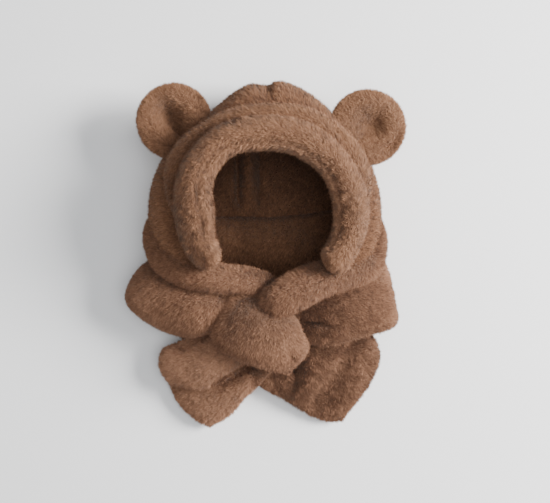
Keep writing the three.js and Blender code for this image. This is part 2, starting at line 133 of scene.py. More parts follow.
def curve_through(stops: Points, share: np.ndarray) -> Points:
    """Points on the centripetal Catmull-Rom curve through the stops.

    Between two stops the curve is the cubic whose end slopes come from the neighbours, each
    weighted by the square root of its distance.

    Args:
        stops: Points that the curve passes, one a row.
        share: Places from 0 at the first stop to 1 at the last, equal steps between stops.

    Returns:
        One point for each place.
    """
    ends = [2 * stops[:1] - stops[1:2], stops, 2 * stops[-1:] - stops[-2:-1]]
    padded = np.concatenate(ends)
    along = np.clip(share, 0.0, 1.0) * (len(stops) - 1)
    first = np.minimum(along.astype(int), len(stops) - 2)
    t = (along - first)[..., None]
    a, b, c, d = (padded[first + k] for k in range(4))
    gap = [np.sqrt(np.linalg.norm(q - p, axis=-1, keepdims=True)) for p, q in ((a, b), (b, c), (c, d))]
    before = ((b - a) / gap[0] - (c - a) / (gap[0] + gap[1]) + (c - b) / gap[1]) * gap[1]
    after = ((c - b) / gap[1] - (d - b) / (gap[1] + gap[2]) + (d - c) / gap[2]) * gap[1]
    return b + t * (before + t * (3 * (c - b) - 2 * before - after + t * (2 * (b - c) + before + after)))


def column_at(column: np.ndarray, share: np.ndarray) -> np.ndarray:
    """Values of a table's column at shares of its length, on straight lines between the rows."""
    return np.interp(share, np.linspace(0.0, 1.0, len(column)), column)


def even_painted_shade(amount: float) -> Shade:
    """Painted shade that is the same all over a piece; above zero it is painted light."""
    return lambda points: np.full(len(points), amount)


def towards(x: float, y: float) -> Nap:
    """Direction of the pile that is the same all over a piece."""
    return lambda points: np.broadcast_to(np.array([x, y, NAP_DROP]), points.shape)


def spreading(x: float, y: float, middle: tuple[float, float], reach: tuple[float, float]) -> Nap:
    """Direction of the pile that turns outwards at the rim of a piece.

    Args:
        x: Part across of the direction in the middle.
        y: Part along of it.
        middle: Middle of the piece, seen from above.
        reach: How far the piece reaches from there across and along.

    Returns:
        The direction at each point.
    """

    def fall(points: Points) -> Points:
        """Blend of the direction in the middle and the way outwards, which takes over at the rim.

        Args:
            points: Roots of the tufts.

        Returns:
            One direction for each point.
        """
        away = np.zeros_like(points)
        away[:, :2] = (points[:, :2] - np.array(middle)) / np.array(reach)
        rim = smooth_step(0.6, 1.0, np.linalg.norm(away, axis=1))[:, None]
        return (1.0 - rim) * np.array([x, y, NAP_DROP]) + rim * away

    return fall


def even(size: float) -> Profile:
    """Size that stays the same along a roll."""
    return lambda share: np.full(share.shape, size)


@dataclass
class Skin:
    """Closed surface of triangles, with a flat map of it for the finish.

    Attributes:
        points: Corners of the triangles.
        faces: Three numbers of points for each triangle, turned outwards.
        chart: Place of each triangle's corners on the flat map.
    """

    points: Points
    faces: np.ndarray
    chart: np.ndarray

    def __post_init__(self) -> None:
        """Drops triangles of no size and turns the faces outwards."""
        ids = self.faces
        real = (ids[:, 0] != ids[:, 1]) & (ids[:, 1] != ids[:, 2]) & (ids[:, 0] != ids[:, 2])
        self.faces, self.chart = self.faces[real], self.chart[real]
        a, b, c = (self.points[self.faces[:, k]] for k in range(3))
        if np.einsum("ij,ij->", a, np.cross(b, c)) < 0:
            self.faces, self.chart = self.faces[:, ::-1].copy(), self.chart[:, ::-1].copy()

    def face_vectors(self) -> Points:
        """Twice the area of each triangle, along its outward direction."""
        a, b, c = (self.points[self.faces[:, k]] for k in range(3))
        return np.cross(b - a, c - a)

    def normals(self) -> Points:
        """Outward direction at each point, the mean of its triangles by their areas.

        Returns:
            One vector of length one for each point.
        """
        vectors = self.face_vectors()
        total = np.zeros_like(self.points)
        for k in range(3):
            for axis in range(3):
                counts = np.bincount(self.faces[:, k], vectors[:, axis], len(self.points))
                total[:, axis] += counts
        return unit(total)

    def push(self, amount: np.ndarray) -> None:
        """Moves each point outwards by an amount."""
        self.points = self.points + self.normals() * np.reshape(amount, (-1, 1))

    def rest_on_table(self) -> None:
        """Presses what would lie below the table flat on it."""
        self.points[:, 2] = np.maximum(self.points[:, 2], TABLE_GAP)


def ring_skin(rings: Points) -> Skin:
    """Skin over closed rings of points, drawn together at the middle of the first and last ring.

    Args:
        rings: Points of each ring, as an array of rings by sides by three.

    Returns:
        The closed skin. Its flat map has the way round as one side and the way along as the other.
    """
    rows, sides, _ = rings.shape
    points = np.concatenate([rings.reshape(-1, 3), rings[[0, -1]].mean(axis=1)])
    i, j = np.meshgrid(np.arange(rows - 1), np.arange(sides), indexing="ij")
    i, j = i.ravel(), j.ravel()
    round_next = (j + 1) % sides
    a, b = i * sides + j, i * sides + round_next
    c, d = a + sides, b + sides
    height = CHART_EDGE + (1 - 2 * CHART_EDGE) * np.arange(rows) / (rows - 1)
    left, right = j / sides, (j + 1) / sides
    low, high = height[i], height[i + 1]
    at_a, at_b = np.stack([left, low], -1), np.stack([right, low], -1)
    at_c, at_d = np.stack([left, high], -1), np.stack([right, high], -1)
    faces = [np.stack([a, b, d], -1), np.stack([a, d, c], -1)]
    chart = [np.stack([at_a, at_b, at_d], 1), np.stack([at_a, at_d, at_c], 1)]
    side = np.arange(sides)
    for pole, ring, edge, flip in ((0, 0, 0.0, True), (1, rows - 1, 1.0, False)):
        tip = np.full(sides, rows * sides + pole)
        here, ahead = ring * sides + side, ring * sides + (side + 1) % sides
        pair = (ahead, here) if flip else (here, ahead)
        faces.append(np.stack([tip, *pair], -1))
        places = [np.stack([(side + s) / sides, np.full(sides, height[ring])], -1) for s in (0, 1)]
        top = np.stack([(side + 0.5) / sides, np.full(sides, edge)], -1)
        chart.append(np.stack([top, *(places[::-1] if flip else places)], 1))
    return Skin(points, np.concatenate(faces), np.concatenate(chart))


def pair_skin(front: Points, back: Points) -> Skin:
    """Skin over two sheets that share their edge.

    Args:
        front: Points of one sheet, as an array of rows by columns by three.
        back: Points of the other sheet. Its edge points are the front's.

    Returns:
        The closed skin. The front fills the left half of its flat map and the back the right half.
    """
    rows, columns, _ = front.shape
    number = np.arange(rows * columns).reshape(rows, columns)
    behind = number.copy()
    behind[1:-1, 1:-1] = rows * columns + np.arange((rows - 2) * (columns - 2)).reshape(rows - 2, -1)
    points = np.concatenate([front.reshape(-1, 3), back[1:-1, 1:-1].reshape(-1, 3)])
    high = np.linspace(CHART_EDGE, 1 - CHART_EDGE, rows)
    y, x = np.meshgrid(high, np.linspace(CHART_EDGE / 2, 0.5 - CHART_EDGE / 2, columns), indexing="ij")
    faces, chart = [], []
    for ids, shift, flip in ((number, 0.0, False), (behind, 0.5, True)):
        place = np.stack([x + shift, y], -1)
        for corners in (((0, 0), (0, 1), (1, 1)), ((0, 0), (1, 1), (1, 0))):
            order = corners[::-1] if flip else corners
            cut = [(slice(r, rows - 1 + r), slice(c, columns - 1 + c)) for r, c in order]
            faces.append(np.stack([ids[s].ravel() for s in cut], -1))
            chart.append(np.stack([place[s].reshape(-1, 2) for s in cut], 1))
    return Skin(points, np.concatenate(faces), np.concatenate(chart))


def roll_skin(
    path: Profile,
    wide: Profile,
    high: Profile,
    lean: float,
    steps: int,
    sides: int,
    end_share: float,
) -> Skin:
    """Roll of padded cloth along a path.

    Each section is an ellipse across the path, turned about it by the lean. Over the end share of
    the length the section shrinks along a quarter circle, so both ends are round.

    Args:
        path: Middle of the roll at shares of its length.
        wide: Half the width at shares of the length.
        high: Half the height at shares of the length.
        lean: Degrees that the sections are turned about the path.
        steps: Sections between the round ends.
        sides: Points of a section.
        end_share: Share of the length that each round end takes.

    Returns:
        The closed skin.
    """
    turn = np.linspace(END_TURN, np.pi / 2, END_RINGS + 1)[:-1]
    start = end_share * (1 - np.cos(turn))
    t = np.concatenate([start, np.linspace(end_share, 1 - end_share, steps), 1 - start[::-1]])
    near = np.clip(np.minimum(t, 1 - t) / end_share, 0.0, 1.0)
    size = np.sqrt(1 - (1 - near) ** 2)
    along = unit(path(np.minimum(t + STEP, 1)) - path(np.maximum(t - STEP, 0)))
    flat = unit(np.cross(along, UP))
    above = unit(np.cross(flat, along))
    angle = np.radians(lean)
    side = np.cos(angle) * flat - np.sin(angle) * above
    up = np.cos(angle) * above + np.sin(angle) * flat
    section = np.linspace(0.0, 2 * np.pi, sides, endpoint=False)
    across = (wide(t) * size)[:, None, None] * np.cos(section)[None, :, None] * side[:, None, :]
    upward = (high(t) * size)[:, None, None] * np.sin(section)[None, :, None] * up[:, None, :]
    return ring_skin(path(t)[:, None, :] + across + upward)


def pillow_skin(
    surface: Surface, pad: Surface, across: int, along: int, corners: float, flatness: int = 4
) -> Skin:
    """Pillow over a middle surface.

    The square of p across and q along, each from -1 to 1, is drawn in towards a disc by
    x = p sqrt(1 - c q^2 / 2) and y = q sqrt(1 - c p^2 / 2). Two sheets stand off the middle surface
    along its normal by the padding times sqrt((1 - p^n)(1 - q^n)), where n is the flatness.

    Args:
        surface: Middle surface at x and y.
        pad: Half the padding at p and q.
        across: Steps across.
        along: Steps along.
        corners: How far the square is drawn in, from 0 to 1 for a disc.
        flatness: Even number, higher for a flatter pillow with fuller edges.

    Returns:
        The closed skin.
    """

    def place(p: np.ndarray, q: np.ndarray) -> Points:
        """Middle surface in the drawn-in square."""
        return surface(p * np.sqrt(1 - corners * q * q / 2), q * np.sqrt(1 - corners * p * p / 2))

    lengthwise = -np.cos(np.linspace(0, np.pi, along + 1))
    crosswise = -np.cos(np.linspace(0, np.pi, across + 1))
    q, p = np.meshgrid(lengthwise, crosswise, indexing="ij")
    delta, rim = 0.01, 0.97  # step over which the slope is taken, and where it is taken last
    p_in, q_in = np.clip(p, -rim, rim), np.clip(q, -rim, rim)
    middle = place(p_in, q_in)
    normal = unit(np.cross(place(p_in + delta, q_in) - middle, place(p_in, q_in + delta) - middle))
    edge = np.sqrt(np.clip((1 - p**flatness) * (1 - q**flatness), 0.0, None))
    reach = (edge * pad(p, q))[..., None] * normal
    return pair_skin(place(p, q) + reach, place(p, q) - reach)


class Dent(Protocol):
    """Anything that dents a skin and paints shade into its plush."""

    # painted shade in the middle of the dent
    shadow: float

    def share(self, points: Points) -> np.ndarray:
        """How much of the dent is felt at each point, from 0 to 1."""

    def sink(self, points: Points, normals: Points) -> np.ndarray:
        """How far each point moves inwards."""


@dataclass(frozen=True)
class Crease:
    """Dent pressed into the upper side of a skin along a line seen from above, with painted shade in it.

    Attributes:
        line: Stops of the line as x and y.
        depth: How far the middle of the dent sinks. A ridge has a depth below zero.
        width: Half the width of the dent.
        ends: Shares of the depth that are left at the first and last stop.
        shadow: Painted shade in the middle of the dent; below zero, a painted highlight.
    """

    line: Line
    depth: float
    width: float
    ends: tuple[float, float] = (0.1, 0.1)
    # painted shade in the dent, a painted highlight below zero
    shadow: float = 0.0

    def share(self, points: Points) -> np.ndarray:
        """How much of the dent is felt at each point: exp(-(distance / width)^2), less at the ends.

        The nearest place on the line gives the distance and how much is left there.

        Args:
            points: Points of the skin.

        Returns:
            One share for each point.
        """
        stops = np.array(self.line)
        steps = np.linalg.norm(np.diff(stops, axis=0), axis=1)
        passed = np.concatenate([[0.0], np.cumsum(steps)])
        nearest = np.full(len(points), np.inf)
        place = np.zeros(len(points))
        for a, b, start, step in zip(stops[:-1], stops[1:], passed, steps):
            t = np.clip((points[:, :2] - a) @ (b - a) / step**2, 0.0, 1.0)
            distance = np.linalg.norm(points[:, :2] - a - t[:, None] * (b - a), axis=1)
            place = np.where(distance < nearest, (start + t * step) / passed[-1], place)
            nearest = np.minimum(nearest, distance)
        left = column_at(np.array([self.ends[0], 1.0, 1.0, self.ends[1]]), place)
        return left * np.exp(-((nearest / self.width) ** 2))

    def sink(self, points: Points, normals: Points) -> np.ndarray:
        """How far each point moves inwards, nothing on the lower side."""
        return self.depth * self.share(points) * smooth_step(-0.1, 0.35, normals[:, 2])


@dataclass(frozen=True)
class Wrinkles:
    """Soft unevenness of stuffed plush.

    Attributes:
        broad: Height of the broad swells.
        fine: Height of the fine dimples.
        broad_size: Distance between broad swells.
        fine_size: Distance between fine dimples.
    """

    broad: float = 0.0012
    fine: float = 0.0003
    broad_size: float = 0.048
    fine_size: float = 0.015

    def height(self, points: Points, seed: int) -> np.ndarray:
        """Outward shift at each point.

        Args:
            points: Points of the skin.
            seed: Choice of the swells.

        Returns:
            One amount for each point.
        """
        swell = self.broad * smooth_noise(points, self.broad_size, seed)
        return swell + self.fine * smooth_noise(points, self.fine_size, seed + 1)


@dataclass(frozen=True)
class Stuffing:
    """Stuffing that swells a padded piece from inside, as a cloth simulation.

    Attributes:
        pressure: Pressure of the stuffing on the cloth.
        frames: Steps of the simulation.
        reach: How far a point may move.
        tension: How stiffly the cloth keeps its lengths.
        bending: How stiffly it keeps its angles.
    """

    pressure: float = 4.0
    frames: int = 20
    reach: float = 0.004
    tension: float = 12.0
    bending: float = 1.5

    def swell(self, skin: Skin) -> None:
        """Lets the cloth of a skin settle round its stuffing and keeps the form that it takes.

        Args:
            skin: The closed skin, which takes the new form.
        """
        mesh = bpy.data.meshes.new("stuffed")
        mesh.from_pydata(skin.points.tolist(), [], skin.faces.tolist())
        held = bpy.data.objects.new("stuffed", mesh)
        scene = bpy.context.scene
        scene.collection.objects.link(held)
        cloth = held.modifiers.new("stuffed", "CLOTH")
        cloth.settings.quality = 5
        cloth.settings.mass = 0.3
        cloth.settings.tension_stiffness = self.tension
        cloth.settings.compression_stiffness = self.tension
        cloth.settings.bending_stiffness = self.bending
        cloth.settings.use_pressure = True
        cloth.settings.uniform_pressure_force = self.pressure
        cloth.settings.effector_weights.gravity = 0.0
        cloth.point_cache.frame_end = self.frames
        for step in range(1, self.frames + 1):
            scene.frame_set(step)
        shown = held.evaluated_get(bpy.context.evaluated_depsgraph_get())
        moved = np.empty(3 * len(skin.points), dtype=np.float32)
        shown.data.vertices.foreach_get("co", moved)
        scene.frame_set(1)
        bpy.data.objects.remove(held)
        bpy.data.meshes.remove(mesh)
        shift = moved.reshape(-1, 3) - skin.points
        length = np.linalg.norm(shift, axis=1, keepdims=True)
        skin.points = skin.points + shift * self.reach / (self.reach + length)


@dataclass(frozen=True)
class Tufts:
    """Tufts of a pile, each one triangle.

    Attributes:
        corners: Corners as tufts by three by three, the two roots before the tip.
        chart: Place of each tuft on the flat map of its skin.
        tint: How much lighter each tuft is than the plush round it.
    """

    corners: Points
    chart: np.ndarray
    tint: np.ndarray


@dataclass(frozen=True)
class Pile:
    """Pile of the plush, as many small tapered tufts.

    Attributes:
        length: Length of a tuft.
        width: Width of a tuft at its root.
        lean: Degrees that a tuft leans from the cloth's normal.
        inset: How far the cloth lies below the form that the pile fills.
        unrest: How much the direction of the tufts wanders.
        clump: Distance over which the tufts wander together.
        tuft: Distance over which the tufts share a lighter or darker tint.
        stray: How much each tuft strays by itself.
        depth: How deep the roots sit in the cloth.
        pressed: Share of the pile that is left where the cloth lies on the table.
        swing: Degrees by which the lean wanders with its neighbours'.
        scatter: Degrees by which each lean strays by itself.
        leans: Least and greatest lean in degrees.
        lengths: Least and greatest share of the length.
        widths: Least and greatest share of the width.
        tint: How much lighter or darker neighbouring tufts are together.
        speckle: How much lighter or darker each tuft is by itself.
    """

    length: float = 0.0052
    width: float = 0.0011
    lean: float = 60.0
    inset: float = 0.0022
    unrest: float = 0.55
    clump: float = 0.0036
    tuft: float = 0.0024
    stray: float = 0.35
    depth: float = 0.0003
    pressed: float = 0.06
    swing: float = 4.0
    scatter: float = 12.0
    leans: tuple[float, float] = (20.0, 80.0)
    lengths: tuple[float, float] = (0.75, 1.2)
    widths: tuple[float, float] = (0.7, 1.15)
    tint: float = 0.2
    speckle: float = 0.16

    def grow(self, skin: Skin, count: int, fall: Nap, seed: int) -> Tufts:
        """Tufts on a skin, spread evenly, thin where the skin lies on the table.

        The tip of a tuft stands off its root by the length, between the normal and the direction
        in which the pile falls, turned by smooth noise.

        Args:
            skin: The cloth that carries the pile.
            count: Number of tufts.
            fall: Direction in which the pile falls at each point.
            seed: Choice of the tufts.

        Returns:
            The tufts.
        """
        rng = np.random.default_rng(seed)
        root, normal, chart = self._roots(skin, count, rng)
        drift = self.unrest * noise_vectors(root, self.clump, seed + 7)
        drift = drift + self.stray * rng.normal(size=(count, 3))
        flow = unit(fall(root)) + drift
        flow = unit(flow - np.einsum("nx,nx->n", flow, normal)[:, None] * normal)
        wander = self.swing * smooth_noise(root, 1.7 * self.clump, seed + 11)
        wander = wander + rng.normal(0.0, self.scatter, count)
        lean = np.radians(np.clip(self.lean + wander, *self.leans))[:, None]
        long = self.length * rng.uniform(*self.lengths, (count, 1))
        tip = root + long * (np.cos(lean) * normal + np.sin(lean) * flow)
        side = np.cross(flow, normal) * (self.width * rng.uniform(*self.widths, (count, 1)) / 2)
        sunk = root - self.depth * normal
        for rows in (tip, sunk):
            rows[:, 2] = np.maximum(rows[:, 2], TABLE_GAP)
        tint = self.tint * smooth_noise(root, self.tuft, seed + 13) + rng.normal(0.0, self.speckle, count)
        return Tufts(np.stack([sunk - side, sunk + side, tip], 1), chart, tint)

    def _roots(
        self, skin: Skin, count: int, rng: np.random.Generator
    ) -> tuple[Points, Points, np.ndarray]:
        """Random places on a skin, each triangle taken as often as its area asks for.

        Args:
            skin: The cloth that carries the pile.
            count: Number of places.
            rng: Source of the random choices.

        Returns:
            The places, the skin's normal at each and the flat map's place of each.
        """
        vectors = skin.face_vectors()
        height = skin.points[skin.faces].mean(axis=1)[:, 2]
        weight = np.linalg.norm(vectors, axis=1)
        on_table = (height < NEAR_TABLE) & (unit(vectors)[:, 2] < -0.6)
        total = np.cumsum(np.where(on_table, self.pressed * weight, weight))
        picks = np.searchsorted(total, rng.uniform(0, total[-1], count))
        picks = np.minimum(picks, len(weight) - 1)
        first, second = np.sqrt(rng.uniform(size=count)), rng.uniform(size=count)
        shares = np.stack([1 - first, first * (1 - second), first * second], -1)
        corners = skin.faces[picks]
        root = np.einsum("nk,nkx->nx", shares, skin.points[corners])
        normal = unit(np.einsum("nk,nkx->nx", shares, skin.normals()[corners]))
        return root, normal, np.einsum("nk,nkx->nx", shares, skin.chart[picks])


SOFT = Pile(length=0.0044, inset=0.0019, unrest=0.25)
CALM = Pile(unrest=0.32)
ROUGH = Pile(lean=52.0, unrest=0.9)
# darker roots and cloth and lighter tips: partly the plush's own colour, partly painted shade among the tufts
# and painted light on the tips
ROOTS_AND_TIP = np.array([0.34, 0.34, 0.74])  # height in the pile of a tuft's corners
TINT_SHARES = np.array([0.6, 0.6, 1.0])  # share of its tint that each corner takes
CLOTH_HEIGHT = 0.46  # height in the pile at which the cloth between the tufts is coloured


@dataclass(frozen=True)
class Plush:
    """Finish of one kind of plush.

    Attributes:
        name: Name of the material.
        deep: Colour of painted shade, between the tufts and where the plush is shaded, linear.
        body: Colour of the tufts, linear.
        tips: Colour of the tips, lighter by painted light, linear.
        sheen: Strength of the soft bloom at grazing angles.
        contrast: How much of the ramp the height in the pile runs through.
        patch_scale: Soft patches along a metre.
        streak_scale: Fine streaks along a metre.
    """

    name: str
    deep: Triple
    body: Triple
    tips: Triple
    sheen: float = 0.22
    contrast: float = 0.8
    patch_scale: float = 38.0
    streak_scale: float = 420.0

    def material(self) -> bpy.types.Material:
        """Node material of the plush.

        The colour runs from the painted shade over body to the painted light of the tips by the height in
        the pile, varied by soft patches and fine streaks in object space. Fine noise also raises the bump.

        Returns:
            The material.
        """
        made = bpy.data.materials.new(self.name)
        made.use_nodes = True
        tree = made.node_tree
        shader = tree.nodes["Principled BSDF"]
        shader.inputs["Roughness"].default_value = 0.92
        shader.inputs["Specular IOR Level"].default_value = 0.2
        shader.inputs["Sheen Weight"].default_value = self.sheen
        shader.inputs["Sheen Roughness"].default_value = 0.5
        shader.inputs["Sheen Tint"].default_value = (1.0, 0.86, 0.74, 1.0)
        patches = self._noise(tree, self.patch_scale, 3.0)
        streaks = self._noise(tree, self.streak_scale, 2.0)
        height = tree.nodes.new("ShaderNodeAttribute")
        height.attribute_name = "pile"
        mixed = self._add_noise(tree, height.outputs["Fac"], patches, 0.25)
        mixed = self._add_noise(tree, mixed, streaks, 0.35)
        fitted = self._math(tree, "MULTIPLY", mixed, self.contrast)
        tree.links.new(self._colour(tree, fitted), shader.inputs["Base Color"])
        bump = tree.nodes.new("ShaderNodeBump")
        bump.inputs["Strength"].default_value = 0.35
        bump.inputs["Distance"].default_value = 0.0008
        tree.links.new(streaks, bump.inputs["Height"])
        tree.links.new(bump.outputs["Normal"], shader.inputs["Normal"])
        return made

    def _colour(self, tree: bpy.types.NodeTree, height: bpy.types.NodeSocket) -> bpy.types.NodeSocket:
        """Ramp from painted shade over body and tips to a brighter painted highlight, by the height.

        Args:
            tree: Nodes of the material.
            height: Height in the pile, from 0 to 1.

        Returns:
            The colour.
        """
        ramp = tree.nodes.new("ShaderNodeValToRGB")
        first, last = ramp.color_ramp.elements
        # painted shade at the bottom of the ramp
        first.position = 0.08
        first.color = (*self.deep, 1.0)
        # painted highlight at the top of the ramp, brighter than the tips
        last.position = 1.0
        last.color = (*(1.35 * part for part in self.tips), 1.0)
        for place, color in ((0.4, self.body), (0.76, self.tips)):
            ramp.color_ramp.elements.new(place).color = (*color, 1.0)
        tree.links.new(height, ramp.inputs["Fac"])
        return ramp.outputs["Color"]

    @staticmethod
    def _noise(tree: bpy.types.NodeTree, scale: float, detail: float) -> bpy.types.NodeSocket:
        """Noise in object space.

        Args:
            tree: Nodes of the material.
            scale: Swells of the noise along a metre.
            detail: Number of finer layers.

        Returns:
            The noise, from 0 to 1.
        """
        place = tree.nodes.new("ShaderNodeTexCoord").outputs["Object"]
        noise = tree.nodes.new("ShaderNodeTexNoise")
        noise.inputs["Scale"].default_value = scale
        noise.inputs["Detail"].default_value = detail
        tree.links.new(place, noise.inputs["Vector"])
        return noise.outputs["Fac"]

    @staticmethod
    def _math(
        tree: bpy.types.NodeTree, operation: str, value: bpy.types.NodeSocket, number: float
    ) -> bpy.types.NodeSocket:
        """Result of an operation on a value and a number.

        Args:
            tree: Nodes of the material.
            operation: Name of the operation.
            value: What it starts from.
            number: The second number of the operation.

        Returns:
            The result.
        """
        node = tree.nodes.new("ShaderNodeMath")
        node.operation = operation
        node.inputs[1].default_value = number
        tree.links.new(value, node.inputs[0])
        return node.outputs[0]

    @classmethod
    def _add_noise(
        cls, tree: bpy.types.NodeTree, base: bpy.types.NodeSocket, noise: bpy.types.NodeSocket, amount: float
    ) -> bpy.types.NodeSocket:
        """Base plus the noise about its middle, times an amount.

        Args:
            tree: Nodes of the material.
            base: What the noise is added to.
            noise: Noise from 0 to 1.
            amount: How strong it is.

        Returns:
            The sum.
        """
        scaled = cls._math(tree, "MULTIPLY_ADD", noise, amount)
        tree.links.new(base, scaled.node.inputs[2])
        return cls._math(tree, "SUBTRACT", scaled, amount / 2)


# each plush: colour of painted shade, own colour of the tufts, colour of the tips with painted light
PLUSH = {
    Region.HOOD: Plush("hood_plush", (0.079, 0.035, 0.019), (0.180, 0.085, 0.044), (0.30, 0.155, 0.086)),
    Region.BRIM: Plush("brim_plush", (0.087, 0.039, 0.021), (0.200, 0.096, 0.051), (0.33, 0.174, 0.099)),
    Region.EAR: Plush("ear_plush", (0.079, 0.036, 0.020), (0.187, 0.089, 0.047), (0.31, 0.162, 0.091)),
    Region.SCARF: Plush("scarf_plush", (0.079, 0.036, 0.021), (0.184, 0.088, 0.049), (0.30, 0.158, 0.094)),
}


@dataclass
class Piece:
    """One piece of the hood scarf, from its skins to the finished object.

    Attributes:
        name: Name of the object.
        nodes: Solids that the piece stands for.
        region: Region whose plush it wears.
        skins: Its closed skins.
        tufts: Number of tufts of its pile.
        fall: Direction in which its pile falls.
        seed: Choice of its wrinkles and tufts.
        fill: How tightly it is stuffed, from 0 to 1.
        creases: Dents in its upper side.
        pile: Its pile.
        shade: Painted light and shade of the plush at each point, lighter above zero.
        wrinkles: Its soft unevenness.
        stuffing: What swells it.
    """

    name: str
    nodes: tuple[str, ...]
    region: Region
    skins: tuple[Skin, ...]
    tufts: int
    fall: Nap
    seed: int
    fill: float = 0.6
    creases: tuple[Dent, ...] = ()
    pile: Pile = Pile()
    # painted light and shade of the plush, none unless given
    shade: Shade = even_painted_shade(0.0)
    wrinkles: Wrinkles = Wrinkles()
    stuffing: Stuffing = Stuffing()

    def finish(self, material: bpy.types.Material) -> bpy.types.Object:
        """Wrinkles the skins, grows the pile on them and makes the object.

        Args:
            material: The plush of the piece.

        Returns:
            The finished object.
        """
        share = [np.linalg.norm(skin.face_vectors(), axis=1).sum() for skin in self.skins]
        parts = []
        for k, skin in enumerate(self.skins):
            self._shape(skin, self.seed + 100 * k)
            count = int(self.tufts * share[k] / sum(share))
            parts.append((skin, self.pile.grow(skin, count, self.fall, self.seed + 100 * k + 31)))
        piece = self._mesh(parts)
        piece.data.materials.append(material)
        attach(piece, "root")
        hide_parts(*self.nodes)
        log.info("%s: %d triangles", self.name, len(piece.data.polygons))
        return piece

    def _shape(self, skin: Skin, seed: int) -> None:
        """Swells the skin, presses the creases in, wrinkles it and draws it in below the pile.

        Args:
            skin: The skin, which takes the new form.
            seed: Choice of its wrinkles.
        """
        self.stuffing.swell(skin)
        normals = skin.normals()
        amount = self.wrinkles.height(skin.points, seed) - self.pile.inset
        for crease in self.creases:
            amount = amount - crease.sink(skin.points, normals)
        skin.push(amount)
        skin.rest_on_table()

    def _shade_at(self, points: Points) -> np.ndarray:
        """Painted light and shade of the piece at points, with the painted shade and highlights of its
        creases.
        """
        return self.shade(points) - sum(crease.shadow * crease.share(points) for crease in self.creases)

    def _mesh(self, parts: list[tuple[Skin, Tufts]]) -> bpy.types.Object:
        """Object of the skins and tufts, with its flat map, normals and height in the pile with painted
        shade.

        Args:
            parts: Each skin with its tufts.

        Returns:
            The object, without a material.
        """
        points, faces, chart, normals, height, start = [], [], [], [], [], 0
        for skin, tufts in parts:
            corners = tufts.corners
            own = np.arange(3 * len(corners)).reshape(-1, 3)
            faces += [start + skin.faces, start + len(skin.points) + own]
            start += len(skin.points) + own.size
            points += [skin.points, corners.reshape(-1, 3)]
            chart += [skin.chart, np.repeat(tufts.chart[:, None, :], 3, axis=1)]
            flat = unit(np.cross(corners[:, 1] - corners[:, 0], corners[:, 2] - corners[:, 0]))
            normals += [skin.normals(), np.repeat(flat, 3, axis=0)]
            ends = ROOTS_AND_TIP + tufts.tint[:, None] * TINT_SHARES
            # painted light and shade raise or lower the height in the pile, and so the colour
            ends = ends + self._shade_at(corners[:, 0])[:, None]
            height += [CLOTH_HEIGHT + self._shade_at(skin.points), ends.ravel()]
        return self._object(*(np.concatenate(rows) for rows in (points, faces, chart, normals, height)))

    def _object(
        self, points: Points, faces: np.ndarray, chart: np.ndarray, normals: Points, height: np.ndarray
    ) -> bpy.types.Object:
        """Object of triangles.

        Args:
            points: Corners of the triangles.
            faces: Three numbers of points for each triangle.
            chart: Place of each triangle's corners on the flat map.
            normals: Direction of the surface at each point.
            height: Height in the pile at each point, with the painted light and shade added.

        Returns:
            The object, in the scene.
        """
        mesh = bpy.data.meshes.new(self.name)
        mesh.vertices.add(len(points))
        mesh.vertices.foreach_set("co", points.astype(np.float32).ravel())
        mesh.loops.add(3 * len(faces))
        mesh.loops.foreach_set("vertex_index", faces.astype(np.int32).ravel())
        mesh.polygons.add(len(faces))
        mesh.polygons.foreach_set("loop_start", np.arange(0, 3 * len(faces), 3, dtype=np.int32))
        mesh.update(calc_edges=True)
        mesh.uv_layers.new(name=CHART).uv.foreach_set("vector", chart.astype(np.float32).ravel())
        pile = mesh.attributes.new("pile", "FLOAT", "POINT")
        pile.data.foreach_set("value", height.astype(np.float32))
        given = mesh.attributes.new("custom_normal", "FLOAT_VECTOR", "POINT")
        given.data.foreach_set("vector", unit(normals).astype(np.float32).ravel())
        piece = bpy.data.objects.new(self.name, mesh)
        bpy.context.scene.collection.objects.link(piece)
        return piece


